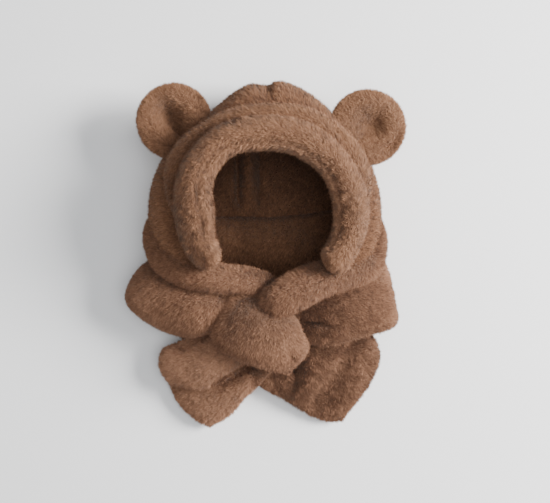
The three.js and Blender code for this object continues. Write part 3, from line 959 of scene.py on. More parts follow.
@dataclass
class HoodRings:
    """Rings round the face opening that the hood, its brim and its fold follow.

    Angles run from the right side over the crown to the left. Each column of shares has a value
    every 30 degrees.
    """

    centre: tuple[float, float] = (0.005, 0.040)
    opening_reach: float = 0.060
    rim_height: float = 0.086
    bulge: float = 0.020
    brim_width: float = 0.035
    brim_rise: float = 0.029
    brim_drop: float = 0.013
    fold_step: float = 0.015
    notch_depth: float = 0.005
    notch_width: float = 4.0
    notch_angle: float = 91.0
    opening: tuple[float, ...] = (1.04, 1.04, 1.0, 0.96, 1.02, 0.96, 0.81, 0.87, 0.93, 0.98, 0.92, 1.05)
    brim: tuple[float, ...] = (0.97, 0.92, 0.94, 0.98, 0.93, 0.99, 1.13, 0.93, 0.55, 0.98, 1.04, 0.89)
    fold: tuple[float, ...] = (0.13, 1.0, 1.09, 0.91, 0.89, 1.1, 0.2, 0.13, 0.13, 0.13, 0.13, 0.13)
    swell: tuple[float, ...] = (0.82, 0.33, 0.7, 1.52, 0.5, 0.5, 1.33, 1.4, 1.35, 0.4, 0.5, 1.0)

    def share(self, column: tuple[float, ...], angle: np.ndarray) -> np.ndarray:
        """Value of a column at angles, on the smooth closed cubic through its rows.

        Args:
            column: Values at equal steps round the opening.
            angle: Angles in degrees.

        Returns:
            One value for each angle.
        """
        rows = np.array(column)
        place = np.mod(angle, 360.0) / (360.0 / len(rows))
        first = np.floor(place).astype(int)
        t = place - first
        a, b, c, d = (rows[(first + k) % len(rows)] for k in (-1, 0, 1, 2))
        return b + 0.5 * t * (c - a + t * (2 * a - 5 * b + 4 * c - d + t * (3 * (b - c) + d - a)))

    def opening_at(self, angle: np.ndarray) -> np.ndarray:
        """Reach of the face opening."""
        return self.opening_reach * self.share(self.opening, angle)

    def brim_width_at(self, angle: np.ndarray) -> np.ndarray:
        """Width of the brim roll."""
        return self.brim_width * self.share(self.brim, angle)

    def brim_middle(self, angle: np.ndarray) -> np.ndarray:
        """Reach of the middle of the brim roll."""
        return self.opening_at(angle) + self.brim_width_at(angle) / 2

    def fold_reach(self, angle: np.ndarray) -> np.ndarray:
        """Reach of the outer edge of the fold ring."""
        step = self.fold_step * self.share(self.fold, angle)
        return self.opening_at(angle) + self.brim_width_at(angle) + step

    def belly_reach(self, angle: np.ndarray) -> np.ndarray:
        """Reach of the widest line: the fold's and the bulge, less a notch at the crown seam.

        Args:
            angle: Angles in degrees.

        Returns:
            One reach for each angle.
        """
        off = (angle - self.notch_angle) / self.notch_width
        notch = self.notch_depth * np.exp(-off * off)
        return self.fold_reach(angle) + self.bulge * self.share(self.swell, angle) - notch

    def rim_drop(self, angle: np.ndarray) -> np.ndarray:
        """How far the rim has sunk: nothing at the crown, the whole drop at the chin."""
        return self.brim_drop * (1 - np.sin(np.radians(angle))) / 2

    def brim_height(self, angle: np.ndarray) -> np.ndarray:
        """Height of the middle of the brim roll."""
        return self.rim_height + 0.4 * self.brim_rise - self.rim_drop(angle)

    def point(self, angle: np.ndarray, reach: np.ndarray, height: np.ndarray) -> Points:
        """Points round the opening.

        Args:
            angle: Angles in degrees.
            reach: Distances from the centre, seen from above.
            height: Heights over the table.

        Returns:
            One point for each angle.
        """
        turn = np.radians(angle)
        x = self.centre[0] + reach * np.cos(turn)
        y = self.centre[1] + reach * np.sin(turn)
        return np.stack(np.broadcast_arrays(x, y, height), -1)

    def polar(self, points: Points) -> tuple[np.ndarray, np.ndarray]:
        """Angle and reach of points seen from above."""
        away = points[:, :2] - np.array(self.centre)
        return np.degrees(np.arctan2(away[:, 1], away[:, 0])), np.linalg.norm(away, axis=1)

    def around(self, points: Points) -> Points:
        """Direction round the face opening, from the right side over the crown to the left."""
        turn = np.radians(self.polar(points)[0])
        return np.stack([-np.sin(turn), np.cos(turn), np.zeros(len(points))], -1)


@dataclass
class HoodShell:
    """Padded bowl of the hood, hollow, open at the face and at the neck."""

    rings: HoodRings
    wall: float = 0.010
    belly_height: float = 0.042
    contact_inset: float = 0.034
    neck_half_width: float = 0.062
    neck_blend: float = 0.008
    neck_floor: float = 0.014
    brim_ends: tuple[float, float] = (-41.0, 226.0)
    turns: int = 190
    steps: int = 20
    floor_rings: int = 39
    # painted shade in the hollow and farther into it, beside the fold, at the crown and on the right side
    hollow_shadow: float = 0.14
    far_shadow: float = 0.12
    beside_fold_shadow: float = 0.14
    crown_shadow: float = 0.15
    right_shadow: float = 0.2
    # the seams and the tuck carry painted shade, the ridges painted highlights
    crown_seam: Crease = Crease(((0.008, 0.176), (0.009, 0.150)), 0.004, 0.0028, (1.0, 0.1), 0.15)
    floor_creases: tuple[Crease, ...] = (
        Crease(((-0.025, 0.112), (-0.025, 0.060), (-0.021, 0.045)), 0.008, 0.0035, shadow=0.15),
        Crease(((-0.014, 0.115), (-0.013, 0.054)), -0.010, 0.0075, (1.0, 0.4), -0.08),
        Crease(((-0.003, 0.115), (-0.002, 0.052)), 0.003, 0.0025, (1.0, 0.4), 0.04),
        Crease(
            ((-0.050, 0.042), (0.008, 0.041), (0.040, 0.044), (0.078, 0.050)), 0.005, 0.003, (1.0, 1.0), 0.1
        ),
        Crease(((-0.030, 0.018), (0.030, 0.012)), -0.008, 0.020, (1.0, 1.0), -0.12),
    )

    def piece(self) -> Piece:
        """The hood, with its crown seam and the tuck, ridge and cross seam of its floor."""
        return Piece(
            "hood", ("hood_shell",), Region.HOOD, (self.skin(),), tufts=130000, fall=self.nap, seed=11,
            fill=0.4, creases=(self.crown_seam, *self.floor_creases), pile=SOFT, shade=self.shade,
        )

    def skin(self) -> Skin:
        """Skin out from the flattened back, over the widest line to the rim, and back inside.

        The outer wall is two quarter ellipses that meet at the widest line, and the inner wall
        runs inside it. Beside the neck both walls stop at the height of the neck's floor.

        Returns:
            The closed skin.
        """
        angle = np.linspace(0.0, 360.0, self.turns, endpoint=False)
        quarter = np.linspace(0.0, 1.0, self.steps + 1)
        upwards = np.concatenate([quarter, 1 + quarter[1:]])
        outer = [self._wall_point(angle, place, False) for place in upwards]
        inner = [self._wall_point(angle, place, True) for place in upwards[::-1]]
        middle = inner[-1].mean(axis=0)
        shares = np.linspace(1.0, 0.02, self.floor_rings + 1)[1:]
        floor = [middle + (inner[-1] - middle) * share for share in shares]
        return ring_skin(np.array(outer + inner + floor))

    def nap(self, points: Points) -> Points:
        """Direction of the pile: outwards, turned to the left at the crown, even in the hollow.

        Args:
            points: Roots of the tufts.

        Returns:
            One direction for each point.
        """
        away = unit((points - np.array([*self.rings.centre, 0.05])) * np.array([1.0, 1.0, 0.3]))
        turned = away + self.rings.around(points) * smooth_step(0.0, 0.12, points[:, 1])[:, None]
        hollow = self._hollow(points)[:, None]
        return (1.0 - hollow) * turned + hollow * np.array([-0.5, -1.0, 0.0])

    def shade(self, points: Points) -> np.ndarray:
        """Painted shade in the hollow, most of all towards the crown, beside the fold, at the crown and on
        the right side.

        Args:
            points: Points of the skin or the pile.

        Returns:
            One shade for each point.
        """
        angle, reach = self.rings.polar(points)
        beside = 1.0 - smooth_step(0.0, 0.009, reach - self.rings.fold_reach(angle))
        beside = beside * smooth_step(0.05, 0.06, points[:, 2])
        crown = self.crown_shadow * smooth_step(0.12, 0.15, points[:, 1])
        hollow = self._hollow(points)
        far = smooth_step(0.02, 0.10, points[:, 1]) * (1.0 + smooth_step(0.0, 0.04, points[:, 0]))
        right = self.right_shadow * smooth_step(0.09, 0.12, points[:, 0])
        outside = self.beside_fold_shadow * beside + crown + right
        return -hollow * (self.hollow_shadow + self.far_shadow * far) - (1.0 - hollow) * outside

    def _hollow(self, points: Points) -> np.ndarray:
        """Share from 0 to 1 by which points lie in the hollow, below the brim.

        Args:
            points: Points of the skin or the pile.

        Returns:
            One share for each point.
        """
        angle, reach = self.rings.polar(points)
        shut = 1.0 - smooth_step(0.9, 1.1, reach / self.rings.brim_middle(angle))
        shut = shut * (1.0 - smooth_step(0.070, 0.085, points[:, 2]))
        return shut * smooth_step(0.004, 0.007, points[:, 2])

    def _wall_point(self, angle: np.ndarray, place: float, inside: bool) -> Points:
        """Ring of the outer or inner wall.

        Args:
            angle: Angles in degrees.
            place: Way up the wall, from 0 on the table over 1 at the belly to 2 at the rim.
            inside: Whether the inner wall is meant.

        Returns:
            One point for each angle.
        """
        rings = self.rings
        share = place * self._neck_cut(angle) / 2.0
        low, high = np.clip(share, 0.0, 1.0), np.clip(share - 1.0, 0.0, 1.0)
        belly = rings.belly_reach(angle) - (self.wall if inside else 0.0)
        contact = rings.belly_reach(angle) - self.contact_inset
        rim = rings.brim_middle(angle) + (-0.5 if inside else 0.5) * self.wall
        floor = self.wall if inside else 0.0
        lower_reach = contact + (belly - contact) * np.sin(low * np.pi / 2)
        lower_height = self.belly_height + (floor - self.belly_height) * np.cos(low * np.pi / 2)
        upper_reach = rim + (belly - rim) * np.cos(high * np.pi / 2)
        top = rings.rim_height - rings.rim_drop(angle)
        upper_height = self.belly_height + (top - self.belly_height) * np.sin(high * np.pi / 2)
        above = share > 1.0
        reach = np.where(above, upper_reach, lower_reach)
        return rings.point(angle, reach, np.where(above, upper_height, lower_height))

    def _neck_cut(self, angle: np.ndarray) -> np.ndarray:
        """How far up the walls go, from 2 at the rim down to the neck's floor beside the neck.

        Args:
            angle: Angles in degrees.

        Returns:
            One place up the wall for each angle.
        """
        turn = np.radians(angle)
        across = np.abs(self.rings.belly_reach(angle) * np.cos(turn))
        floor_share = np.arccos(1 - self.neck_floor / self.belly_height) / (np.pi / 2)
        start, end = self.neck_half_width - self.neck_blend, self.neck_half_width + self.neck_blend
        past = np.minimum(angle - self.brim_ends[1], self.brim_ends[0] + 360.0 - angle)
        side = np.minimum(smooth_step(start, end, across), 1.0 - smooth_step(-4.0, 12.0, past))
        return np.where(np.sin(turn) < -0.2, floor_share + (2.0 - floor_share) * side, 2.0)


@dataclass
class BrimRoll:
    """Thick padded roll round the face, open under the chin, with its facing seam."""

    rings: HoodRings
    tilt: float = 22.0
    start: float = -41.0
    end: float = 226.0

    def piece(self) -> Piece:
        """The brim, with its facing seam."""
        seam = FacingSeam(self)
        return Piece(
            "brim", ("brim_roll",), Region.BRIM, (self.skin(),), tufts=110000, fall=self.nap, seed=12,
            fill=0.8, creases=(seam,), shade=seam.shade,
        )

    def skin(self) -> Skin:
        """Roll along the middle of the brim.

        Returns:
            The closed skin.
        """
        rings = self.rings

        def angle(share: np.ndarray) -> np.ndarray:
            """Angle at shares of the roll's length."""
            return self.start + (self.end - self.start) * share

        def path(share: np.ndarray) -> Points:
            """Middle of the roll."""
            at = angle(share)
            return rings.point(at, rings.brim_middle(at), rings.brim_height(at))

        return roll_skin(
            path,
            lambda share: rings.brim_width_at(angle(share)) / 2,
            even(rings.brim_rise / 2),
            lean=self.tilt,
            steps=150,
            sides=48,
            end_share=0.035,
        )

    def nap(self, points: Points) -> Points:
        """Direction of the pile: round the opening, and tuft by tuft the other way by the right end.

        Args:
            points: Roots of the tufts.

        Returns:
            One direction for each point.
        """
        passed = np.mod(self.rings.polar(points)[0] - self.start + 20.0, 360.0) - 20.0
        chance = np.random.default_rng(7).uniform(0.0, 1.0, len(points))
        ahead = smooth_step(4.0, 50.0, passed) > chance
        return np.where(ahead, 1.0, -1.0)[:, None] * self.rings.around(points)


@dataclass(frozen=True)
class FacingSeam:
    """Seam along the inner side of the brim, where its smooth facing is sewn on.

    Attributes:
        brim: The roll that it runs along.
        depth: How far it sinks on the left, where it shows most.
        width: Half its width.
        turn: Degrees up from the outer side of the roll's section.
        shadow: Painted shade in it.
        facing_light: Painted light on the facing, more than on the rest of the roll.
        right_light: More painted light on the facing on the right.
        rim_light: Painted highlight on the outer rim.
        roll_shadow: Painted shade over the whole roll.
    """

    brim: BrimRoll
    depth: float = 0.0048
    width: float = 0.0024
    turn: float = 112.0
    # painted shade in the seam, painted light on the facing and rim, painted shade over the roll
    shadow: float = 0.3
    facing_light: float = 0.14
    right_light: float = 0.24
    rim_light: float = 0.10
    roll_shadow: float = 0.09

    def inside(self, points: Points) -> np.ndarray:
        """How far points lie inside the seam, round the section of the roll.

        Args:
            points: Points of the skin or the pile.

        Returns:
            One distance for each point, below zero outside the seam.
        """
        rings = self.brim.rings
        angle, reach = rings.polar(points)
        away = (reach - rings.brim_middle(angle)) / (rings.brim_width_at(angle) / 2)
        above = (points[:, 2] - rings.brim_height(angle)) / (rings.brim_rise / 2)
        past = np.degrees(np.arctan2(above, away)) - self.turn - 16.0 * (1.0 - self._left(angle))
        return np.radians(np.mod(past + 180.0, 360.0) - 180.0) * rings.brim_rise / 2

    def share(self, points: Points) -> np.ndarray:
        """How much of the seam is felt: most on the left, nothing at the ends of the roll.

        Args:
            points: Points of the skin or the pile.

        Returns:
            One share for each point.
        """
        angle = self.brim.rings.polar(points)[0]
        passed = np.mod(angle - self.brim.start, 360.0)
        ends = smooth_step(10.0, 34.0, np.minimum(passed, self.brim.end - self.brim.start - passed))
        depth = (0.3 + 0.7 * self._left(angle)) * ends
        return depth * np.exp(-((self.inside(points) / self.width) ** 2))

    def sink(self, points: Points, normals: Points) -> np.ndarray:
        """How far each point moves inwards."""
        return self.depth * self.share(points)

    def shade(self, points: Points) -> np.ndarray:
        """Painted light on the facing, most on the right, and on the rim; painted shade on the roll.

        Args:
            points: Points of the skin or the pile.

        Returns:
            One shade for each point.
        """
        off = self.inside(points)
        facing = smooth_step(0.0, 0.003, off) * (1.0 - smooth_step(0.016, 0.022, off))
        rim = np.exp(-(((off + 0.0175) / 0.004) ** 2))
        right = smooth_step(-0.02, 0.05, points[:, 0])
        facing = (self.facing_light + self.right_light * right) * facing
        return facing + self.rim_light * rim - self.roll_shadow

    @staticmethod
    def _left(angle: np.ndarray) -> np.ndarray:
        """Share from 0 to 1 by which an angle is on the left."""
        return smooth_step(100.0, 150.0, np.abs(angle))


@dataclass
class HoodFold:
    """Second padded fold that shows behind the brim round the crown."""

    rings: HoodRings
    width: float = 0.032
    height: float = 0.022
    start: float = -8.0
    end: float = 188.0
    # painted light towards the outer rim and painted shade beside the brim
    rim_light: float = 0.10
    beside_brim_shadow: float = 0.20
    crease: Crease = Crease(((0.060, 0.128), (0.070, 0.121), (0.076, 0.114), (0.084, 0.102)), 0.003, 0.003)

    def piece(self) -> Piece:
        """The fold, with its one crease at the upper right."""
        return Piece(
            "fold", ("hood_fold",), Region.HOOD, (self.skin(),), tufts=55000, fall=self.rings.around,
            seed=13, creases=(self.crease,), pile=SOFT, shade=self.shade,
        )

    def skin(self) -> Skin:
        """Roll along the fold ring.

        Returns:
            The closed skin.
        """
        rings = self.rings

        def path(share: np.ndarray) -> Points:
            """Middle of the roll, below the brim's and half a width inside the fold's outer edge.

            Args:
                share: Shares of the roll's length.

            Returns:
                One point for each share.
            """
            at = self.start + (self.end - self.start) * share
            low = rings.brim_height(at) - 0.75 * self.height
            return rings.point(at, rings.fold_reach(at) - self.width / 2, low)

        return roll_skin(
            path, even(self.width / 2), even(self.height / 2), lean=0.0, steps=110, sides=34, end_share=0.12
        )

    def shade(self, points: Points) -> np.ndarray:
        """Painted shade in the crease beside the brim, painted light towards the outer rim of the fold.

        Args:
            points: Points of the skin or the pile.

        Returns:
            One shade for each point.
        """
        angle, reach = self.rings.polar(points)
        off = reach - self.rings.opening_at(angle) - self.rings.brim_width_at(angle)
        beside = 1.0 - smooth_step(-0.001, 0.005, off)
        return self.rim_light * smooth_step(0.004, 0.013, off) - self.beside_brim_shadow * beside


@dataclass
class Ear:
    """Round stuffed ear, hollowed in front and pinched where it is sewn on.

    Attributes:
        rings: Rings of the hood that carries it.
        side: Which ear it is.
        seat: Angle at which it is sewn on, in degrees.
        points: Direction in which it points, in degrees.
        fall: Direction in which its pile falls.
        seed: Choice of its wrinkles and tufts.
        pinch: Its creases, with their painted shade.
        width: Width across.
        length: Length from the sewn edge to the tip.
        pad: Whole padding.
        cup: How deep it is hollowed.
        height: Height of its middle over the table.
        tuck: How far its sewn edge reaches into the hood.
    """

    rings: HoodRings
    side: Side
    seat: float
    points: float
    fall: Nap
    seed: int
    pinch: tuple[Crease, ...]
    width: float = 0.073
    length: float = 0.074
    pad: float = 0.020
    cup: float = 0.013
    height: float = 0.054
    tuck: float = 0.016

    def piece(self) -> Piece:
        """The ear, with its pinches."""
        return Piece(
            f"ear_{self.side.value}", (f"{self.side.value}_ear",), Region.EAR, (self.skin(),),
            tufts=42000, fall=self.fall, seed=self.seed, creases=self.pinch, pile=CALM,
        )

    def skin(self) -> Skin:
        """Pillow with round corners over a middle surface that is dented like a cup.

        Returns:
            The closed skin.
        """
        reach = self.rings.fold_reach(np.array(self.seat)) - self.tuck
        base = self.rings.point(self.seat, reach, self.height)
        turn = np.radians(self.points)
        out = np.array([np.cos(turn), np.sin(turn), 0.0])
        side = np.cross(out, UP)

        def surface(p: np.ndarray, q: np.ndarray) -> Points:
            """Flat ear less the cup, which is as deep as exp(-2.5 of the distance squared).

            Args:
                p: Places across, from -1 to 1.
                q: Places along, from -1 to 1.

            Returns:
                One point for each place.
            """
            point = base + out * (self.length * (q + 1) / 2)[..., None]
            dent = self.cup * np.exp(-2.5 * (p * p + (q - 0.1) ** 2))
            return point + side * (self.width * p / 2)[..., None] - UP * dent[..., None]

        def padding(p: np.ndarray, q: np.ndarray) -> np.ndarray:
            """Half the padding."""
            return np.full(p.shape, self.pad / 2)

        return pillow_skin(surface, padding, across=44, along=48, corners=1.0)


def left_ear(rings: HoodRings) -> Ear:
    """Left ear, with a broad pinch and a fine one.

    Args:
        rings: Rings of the hood that carries it.

    Returns:
        The ear.
    """
    broad = ((-0.098, 0.150), (-0.092, 0.140), (-0.085, 0.130), (-0.078, 0.119))
    # pinches: dents with painted shade
    pinch = (
        Crease(broad, 0.010, 0.0085, (0.3, 1.0), 0.1),
        Crease(((-0.090, 0.136), (-0.085, 0.127), (-0.077, 0.117)), 0.005, 0.003, (0.1, 1.0), 0.15),
    )
    fall = spreading(-0.6, 0.8, (-0.092, 0.137), (0.038, 0.038))
    return Ear(rings, Side.LEFT, seat=137.5, points=127.0, fall=fall, seed=14, pinch=pinch)


def right_ear(rings: HoodRings) -> Ear:
    """Right ear, with a shallower pinch.

    Args:
        rings: Rings of the hood that carries it.

    Returns:
        The ear.
    """
    broad = ((0.122, 0.138), (0.115, 0.130), (0.107, 0.123), (0.102, 0.117))
    # pinches: dents with painted shade
    pinch = (
        Crease(broad, 0.004, 0.010, (0.3, 0.6), 0.1),
        Crease(((0.104, 0.121), (0.098, 0.114), (0.092, 0.107)), 0.003, 0.0026, (0.1, 1.0), 0.15),
    )
    fall = spreading(-0.6, 0.6, (0.106, 0.131), (0.038, 0.038))
    return Ear(rings, Side.RIGHT, seat=41.5, points=40.0, fall=fall, seed=15, pinch=pinch)


@dataclass(frozen=True)
class Station:
    """Row of a scarf band: its top edge, middle and hem, and its padding.

    Each place holds across, along and up as shares of the scarf's spread, width and rise.
    """

    top: Triple
    middle: Triple
    hem: Triple
    pad: float


@dataclass(frozen=True)
class RollStation:
    """Row of a neck roll: its middle as shares, and its width and height as shares."""

    at: Triple
    wide: float
    high: float


LEFT_COLLAR = [
    Station((-0.62, 0.08, 0.15), (-0.64, -0.16, 0.15), (-0.56, -0.42, 0.15), 0.9),
    Station((-0.74, 0.26, 0.21), (-0.86, 0.0, 0.2), (-0.68, -0.3, 0.18), 0.9),
    Station((-0.79, 0.42, 0.42), (-0.94, 0.02, 0.38), (-0.66, -0.33, 0.3), 1.0),
    Station((-0.75, 0.4, 0.64), (-0.9, 0.01, 0.58), (-0.6, -0.36, 0.48), 1.0),
    Station((-0.62, 0.32, 0.82), (-0.66, -0.02, 0.8), (-0.5, -0.38, 0.66), 1.05),
    Station((-0.4, 0.22, 0.94), (-0.43, -0.04, 0.95), (-0.41, -0.34, 0.8), 1.05),
    Station((-0.1, 0.18, 0.92), (-0.18, -0.06, 0.94), (-0.28, -0.28, 0.86), 0.95),
]
RIGHT_COLLAR = [
    Station((0.62, 0.08, 0.15), (0.64, -0.12, 0.15), (0.58, -0.32, 0.15), 0.9),
    Station((0.76, 0.3, 0.2), (0.84, 0.0, 0.2), (0.84, -0.26, 0.2), 0.9),
    Station((0.83, 0.5, 0.42), (0.9, 0.04, 0.38), (0.96, -0.28, 0.36), 1.0),
    Station((0.8, 0.48, 0.66), (0.88, 0.03, 0.62), (0.9, -0.32, 0.58), 1.0),
    Station((0.68, 0.34, 0.86), (0.73, 0.0, 0.85), (0.68, -0.4, 0.74), 1.05),
    Station((0.49, 0.16, 1.0), (0.49, -0.1, 1.0), (0.44, -0.46, 0.84), 1.1),
    Station((0.16, 0.02, 0.94), (0.18, -0.16, 0.94), (0.2, -0.36, 0.86), 0.9),
]
NAPE = [
    Station((-0.63, 0.06, 0.13), (-0.63, -0.17, 0.13), (-0.58, -0.42, 0.13), 0.9),
    Station((-0.3, 0.0, 0.13), (-0.3, -0.24, 0.13), (-0.28, -0.5, 0.13), 0.9),
    Station((0.3, 0.0, 0.13), (0.3, -0.22, 0.13), (0.28, -0.46, 0.13), 0.9),
    Station((0.63, 0.06, 0.13), (0.63, -0.12, 0.13), (0.58, -0.34, 0.13), 0.9),
]
LEFT_TAIL_UPPER = [
    Station((-0.22, -0.34, 0.72), (-0.14, -0.48, 0.74), (-0.04, -0.62, 0.68), 0.9),
    Station((-0.44, -0.35, 0.56), (-0.36, -0.59, 0.62), (-0.25, -0.84, 0.56), 1.0),
    Station((-0.6, -0.44, 0.4), (-0.55, -0.68, 0.46), (-0.43, -0.94, 0.42), 1.0),
    Station((-0.73, -0.53, 0.28), (-0.76, -0.72, 0.3), (-0.68, -0.93, 0.3), 0.9),
]
LEFT_TAIL_LOWER = [
    Station((-0.1, -0.58, 0.52), (0.0, -0.66, 0.52), (0.08, -0.73, 0.48), 0.9),
    Station((-0.34, -0.76, 0.36), (-0.22, -0.9, 0.36), (-0.1, -1.0, 0.32), 1.0),
    Station((-0.52, -0.86, 0.22), (-0.4, -1.06, 0.23), (-0.24, -1.25, 0.2), 0.95),
    Station((-0.71, -0.91, 0.15), (-0.6, -1.19, 0.14), (-0.4, -1.4, 0.13), 0.85),
]
RIGHT_TAIL = [
    Station((0.16, -0.26, 0.72), (0.46, -0.26, 0.78), (0.74, -0.18, 0.6), 0.95),
    Station((0.25, -0.64, 0.48), (0.53, -0.7, 0.4), (0.87, -0.6, 0.32), 1.0),
    Station((0.17, -0.96, 0.26), (0.45, -1.04, 0.2), (0.78, -0.98, 0.22), 1.0),
    Station((0.16, -1.1, 0.15), (0.4, -1.31, 0.14), (0.6, -1.34, 0.15), 0.85),
]
RIGHT_TURN = [
    Station((0.03, -0.66, 0.4), (0.13, -0.72, 0.42), (0.26, -0.78, 0.4), 0.7),
    Station((-0.02, -0.8, 0.25), (0.1, -0.88, 0.27), (0.26, -0.99, 0.26), 0.8),
    Station((-0.05, -0.92, 0.13), (0.1, -1.03, 0.14), (0.27, -1.16, 0.14), 0.7),
]
KNOT = [
    Station((-0.2, 0.16, 0.88), (0.01, 0.09, 0.96), (0.21, -0.09, 0.92), 0.8),
    Station((-0.3, -0.1, 0.84), (-0.01, -0.19, 1.04), (0.28, -0.28, 0.92), 1.0),
    Station((-0.36, -0.32, 0.78), (-0.04, -0.44, 1.0), (0.33, -0.46, 0.86), 1.0),
    Station((-0.22, -0.52, 0.7), (0.0, -0.65, 0.8), (0.19, -0.77, 0.7), 0.7),
]
LEFT_ROLL = [
    RollStation((-0.8, 0.88, 0.62), 0.5, 0.6),
    RollStation((-0.75, 0.62, 0.76), 0.8, 0.8),
    RollStation((-0.66, 0.42, 0.88), 0.95, 0.9),
    RollStation((-0.5, 0.3, 1.0), 0.95, 0.95),
    RollStation((-0.34, 0.25, 1.06), 0.9, 1.0),
    RollStation((-0.16, 0.23, 1.06), 0.85, 0.95),
    RollStation((0.0, 0.18, 0.98), 0.8, 0.85),
    RollStation((0.15, 0.04, 0.82), 0.8, 0.8),
]
RIGHT_ROLL = [
    RollStation((0.85, 0.86, 0.62), 0.5, 0.6),
    RollStation((0.8, 0.58, 0.78), 0.8, 0.8),
    RollStation((0.72, 0.38, 0.92), 1.05, 0.95),
    RollStation((0.56, 0.28, 1.04), 1.1, 1.0),
    RollStation((0.38, 0.22, 1.16), 1.1, 1.0),
    RollStation((0.23, 0.12, 1.2), 1.1, 1.0),
    RollStation((0.1, 0.02, 1.16), 1.05, 0.95),
    RollStation((-0.02, -0.07, 1.02), 0.9, 0.8),
]


@dataclass
class Scarf:
    """Padded scarf round the neck, with the rolls beside the cheeks, the knot and two tails."""

    spread: float = 0.138
    width: float = 0.095
    line: float = -0.045
    rise: float = 0.062
    pad: float = 0.018
    roll_width: float = 0.034
    roll_height: float = 0.026
    knot_pad: float = 0.030

    def pieces(self) -> list[Piece]:
        """Every piece of the scarf, from the rolls over the band to the tails.

        Returns:
            The pieces, in order.
        """
        rolls = [self.left_roll(), self.right_roll()]
        bands = [self.left_collar(), self.right_collar(), self.nape()]
        return [*rolls, *bands, self.knot(), self.right_tail(), self.left_tail()]

    def left_roll(self) -> Piece:
        """Roll beside the left cheek, with painted shade all over."""
        return Piece(
            # painted shade all over the roll
            "roll_left", ("left_neck_roll",), Region.SCARF, (self.neck_roll(LEFT_ROLL),),
            tufts=38000, fall=towards(-1.0, -0.25), seed=16, shade=even_painted_shade(-0.08),
        )

    def right_roll(self) -> Piece:
        """Roll beside the right cheek, with a painted highlight along its top and painted shade all over."""
        # painted highlight along the top; painted shade over the whole roll below
        lit_top = Crease(((0.018, -0.022), (0.037, -0.007), (0.058, 0.0)), 0.0, 0.008, (0.6, 1.0), -0.2)
        return Piece(
            "roll_right", ("right_neck_roll",), Region.SCARF, (self.neck_roll(RIGHT_ROLL),),
            tufts=44000, fall=spreading(-1.0, -0.5, (0.048, -0.004), (0.075, 0.05)), seed=17,
            fill=0.8, creases=(lit_top,), shade=even_painted_shade(-0.12),
        )

    def left_collar(self) -> Piece:
        """Left side of the band: painted shade below the roll and by the knot, painted highlight at its side.

        Returns:
            The piece.
        """
        # under_roll and beside_knot are dents with painted shade; lit_side is a painted highlight alone
        roll_line = ((-0.118, -0.001), (-0.101, -0.013), (-0.088, -0.025), (-0.071, -0.034), (-0.051, -0.037))
        under_roll = Crease((*roll_line, (-0.032, -0.040)), 0.002, 0.0065, (1.0, 1.0), 0.2)
        side_line = ((-0.130, -0.030), (-0.122, -0.054), (-0.096, -0.076))
        lit_side = Crease(side_line, 0.0, 0.016, (1.0, 1.0), -0.16)
        knot_line = ((-0.023, -0.038), (-0.035, -0.055), (-0.049, -0.076))
        beside_knot = Crease(knot_line, 0.003, 0.004, (1.0, 1.0), 0.3)
        skin = self.band(LEFT_COLLAR, self.pad, across=40, along=70, corners=0.1, crisp=0.85)
        return Piece(
            "collar_left", ("left_collar",), Region.SCARF, (skin,), tufts=65000,
            fall=spreading(-0.6, -0.8, (-0.085, -0.04), (0.055, 0.046)), seed=18,
            creases=(under_roll, lit_side, beside_knot),
        )

    def right_collar(self) -> Piece:
        """Right side of the band: crease by the knot, painted highlights at hem and corner, painted shade.

        Returns:
            The piece.
        """
        # lit_hem and lit_corner are painted highlights alone; band_crease is a dent with painted shade;
        # painted shade over the whole collar
        hem_line = ((0.042, -0.079), (0.067, -0.084), (0.091, -0.081), (0.111, -0.071), (0.130, -0.058))
        lit_hem = Crease(hem_line, 0.0, 0.005, (1.0, 1.0), -0.2)
        lit_corner = Crease(((0.112, 0.012), (0.122, -0.010)), 0.0, 0.014, (1.0, 1.0), -0.25)
        crease_line = ((0.024, -0.060), (0.037, -0.063), (0.052, -0.064), (0.072, -0.067))
        band_crease = Crease(crease_line, 0.006, 0.0026, (0.6, 0.1), 0.3)
        skin = self.band(RIGHT_COLLAR, self.pad, across=48, along=80, corners=0.1)
        return Piece(
            "collar_right", ("right_collar",), Region.SCARF, (skin,), tufts=65000,
            fall=towards(1.0, -0.4), seed=19, creases=(band_crease, lit_hem, lit_corner),
            shade=even_painted_shade(-0.2),
        )

    def nape(self) -> Piece:
        """Band behind the neck, under the hood's back."""
        skin = self.band(NAPE, self.pad, across=24, along=44)
        return Piece(
            "band_nape", ("nape_band",), Region.SCARF, (skin,), tufts=22000, fall=towards(0.0, -1.0),
            seed=20, fill=0.4,
        )

    def knot(self) -> Piece:
        """Padded square of the knot, with its tuck in painted shade and painted shade on its left side.

        Returns:
            The piece.
        """
        # the tuck is a dent with painted shade; the left side has painted shade alone
        tuck = Crease(((0.0265, -0.092), (0.0275, -0.096), (0.0295, -0.102)), 0.003, 0.0026, shadow=0.25)
        painted_shade_side = Crease(((-0.018, -0.052), (-0.034, -0.086)), 0.0, 0.014, (1.0, 1.0), 0.16)
        skin = self.band(KNOT, self.knot_pad, across=48, along=48, corners=0.16)
        return Piece(
            "knot_pad", ("knot",), Region.SCARF, (skin,), tufts=55000,
            fall=spreading(0.2, -1.0, (-0.002, -0.075), (0.046, 0.048)), seed=21, fill=0.85,
            creases=(tuck, painted_shade_side), pile=CALM,
        )

    def right_tail(self) -> Piece:
        """Right tail and its turned edge, a long soft fold, painted shadow below the band, painted shade all
        over.

        Returns:
            The piece.
        """
        fold_line = ((0.089, -0.090), (0.084, -0.105), (0.069, -0.131), (0.054, -0.151))
        fold = Crease(fold_line, 0.004, 0.010, (0.5, 1.0))
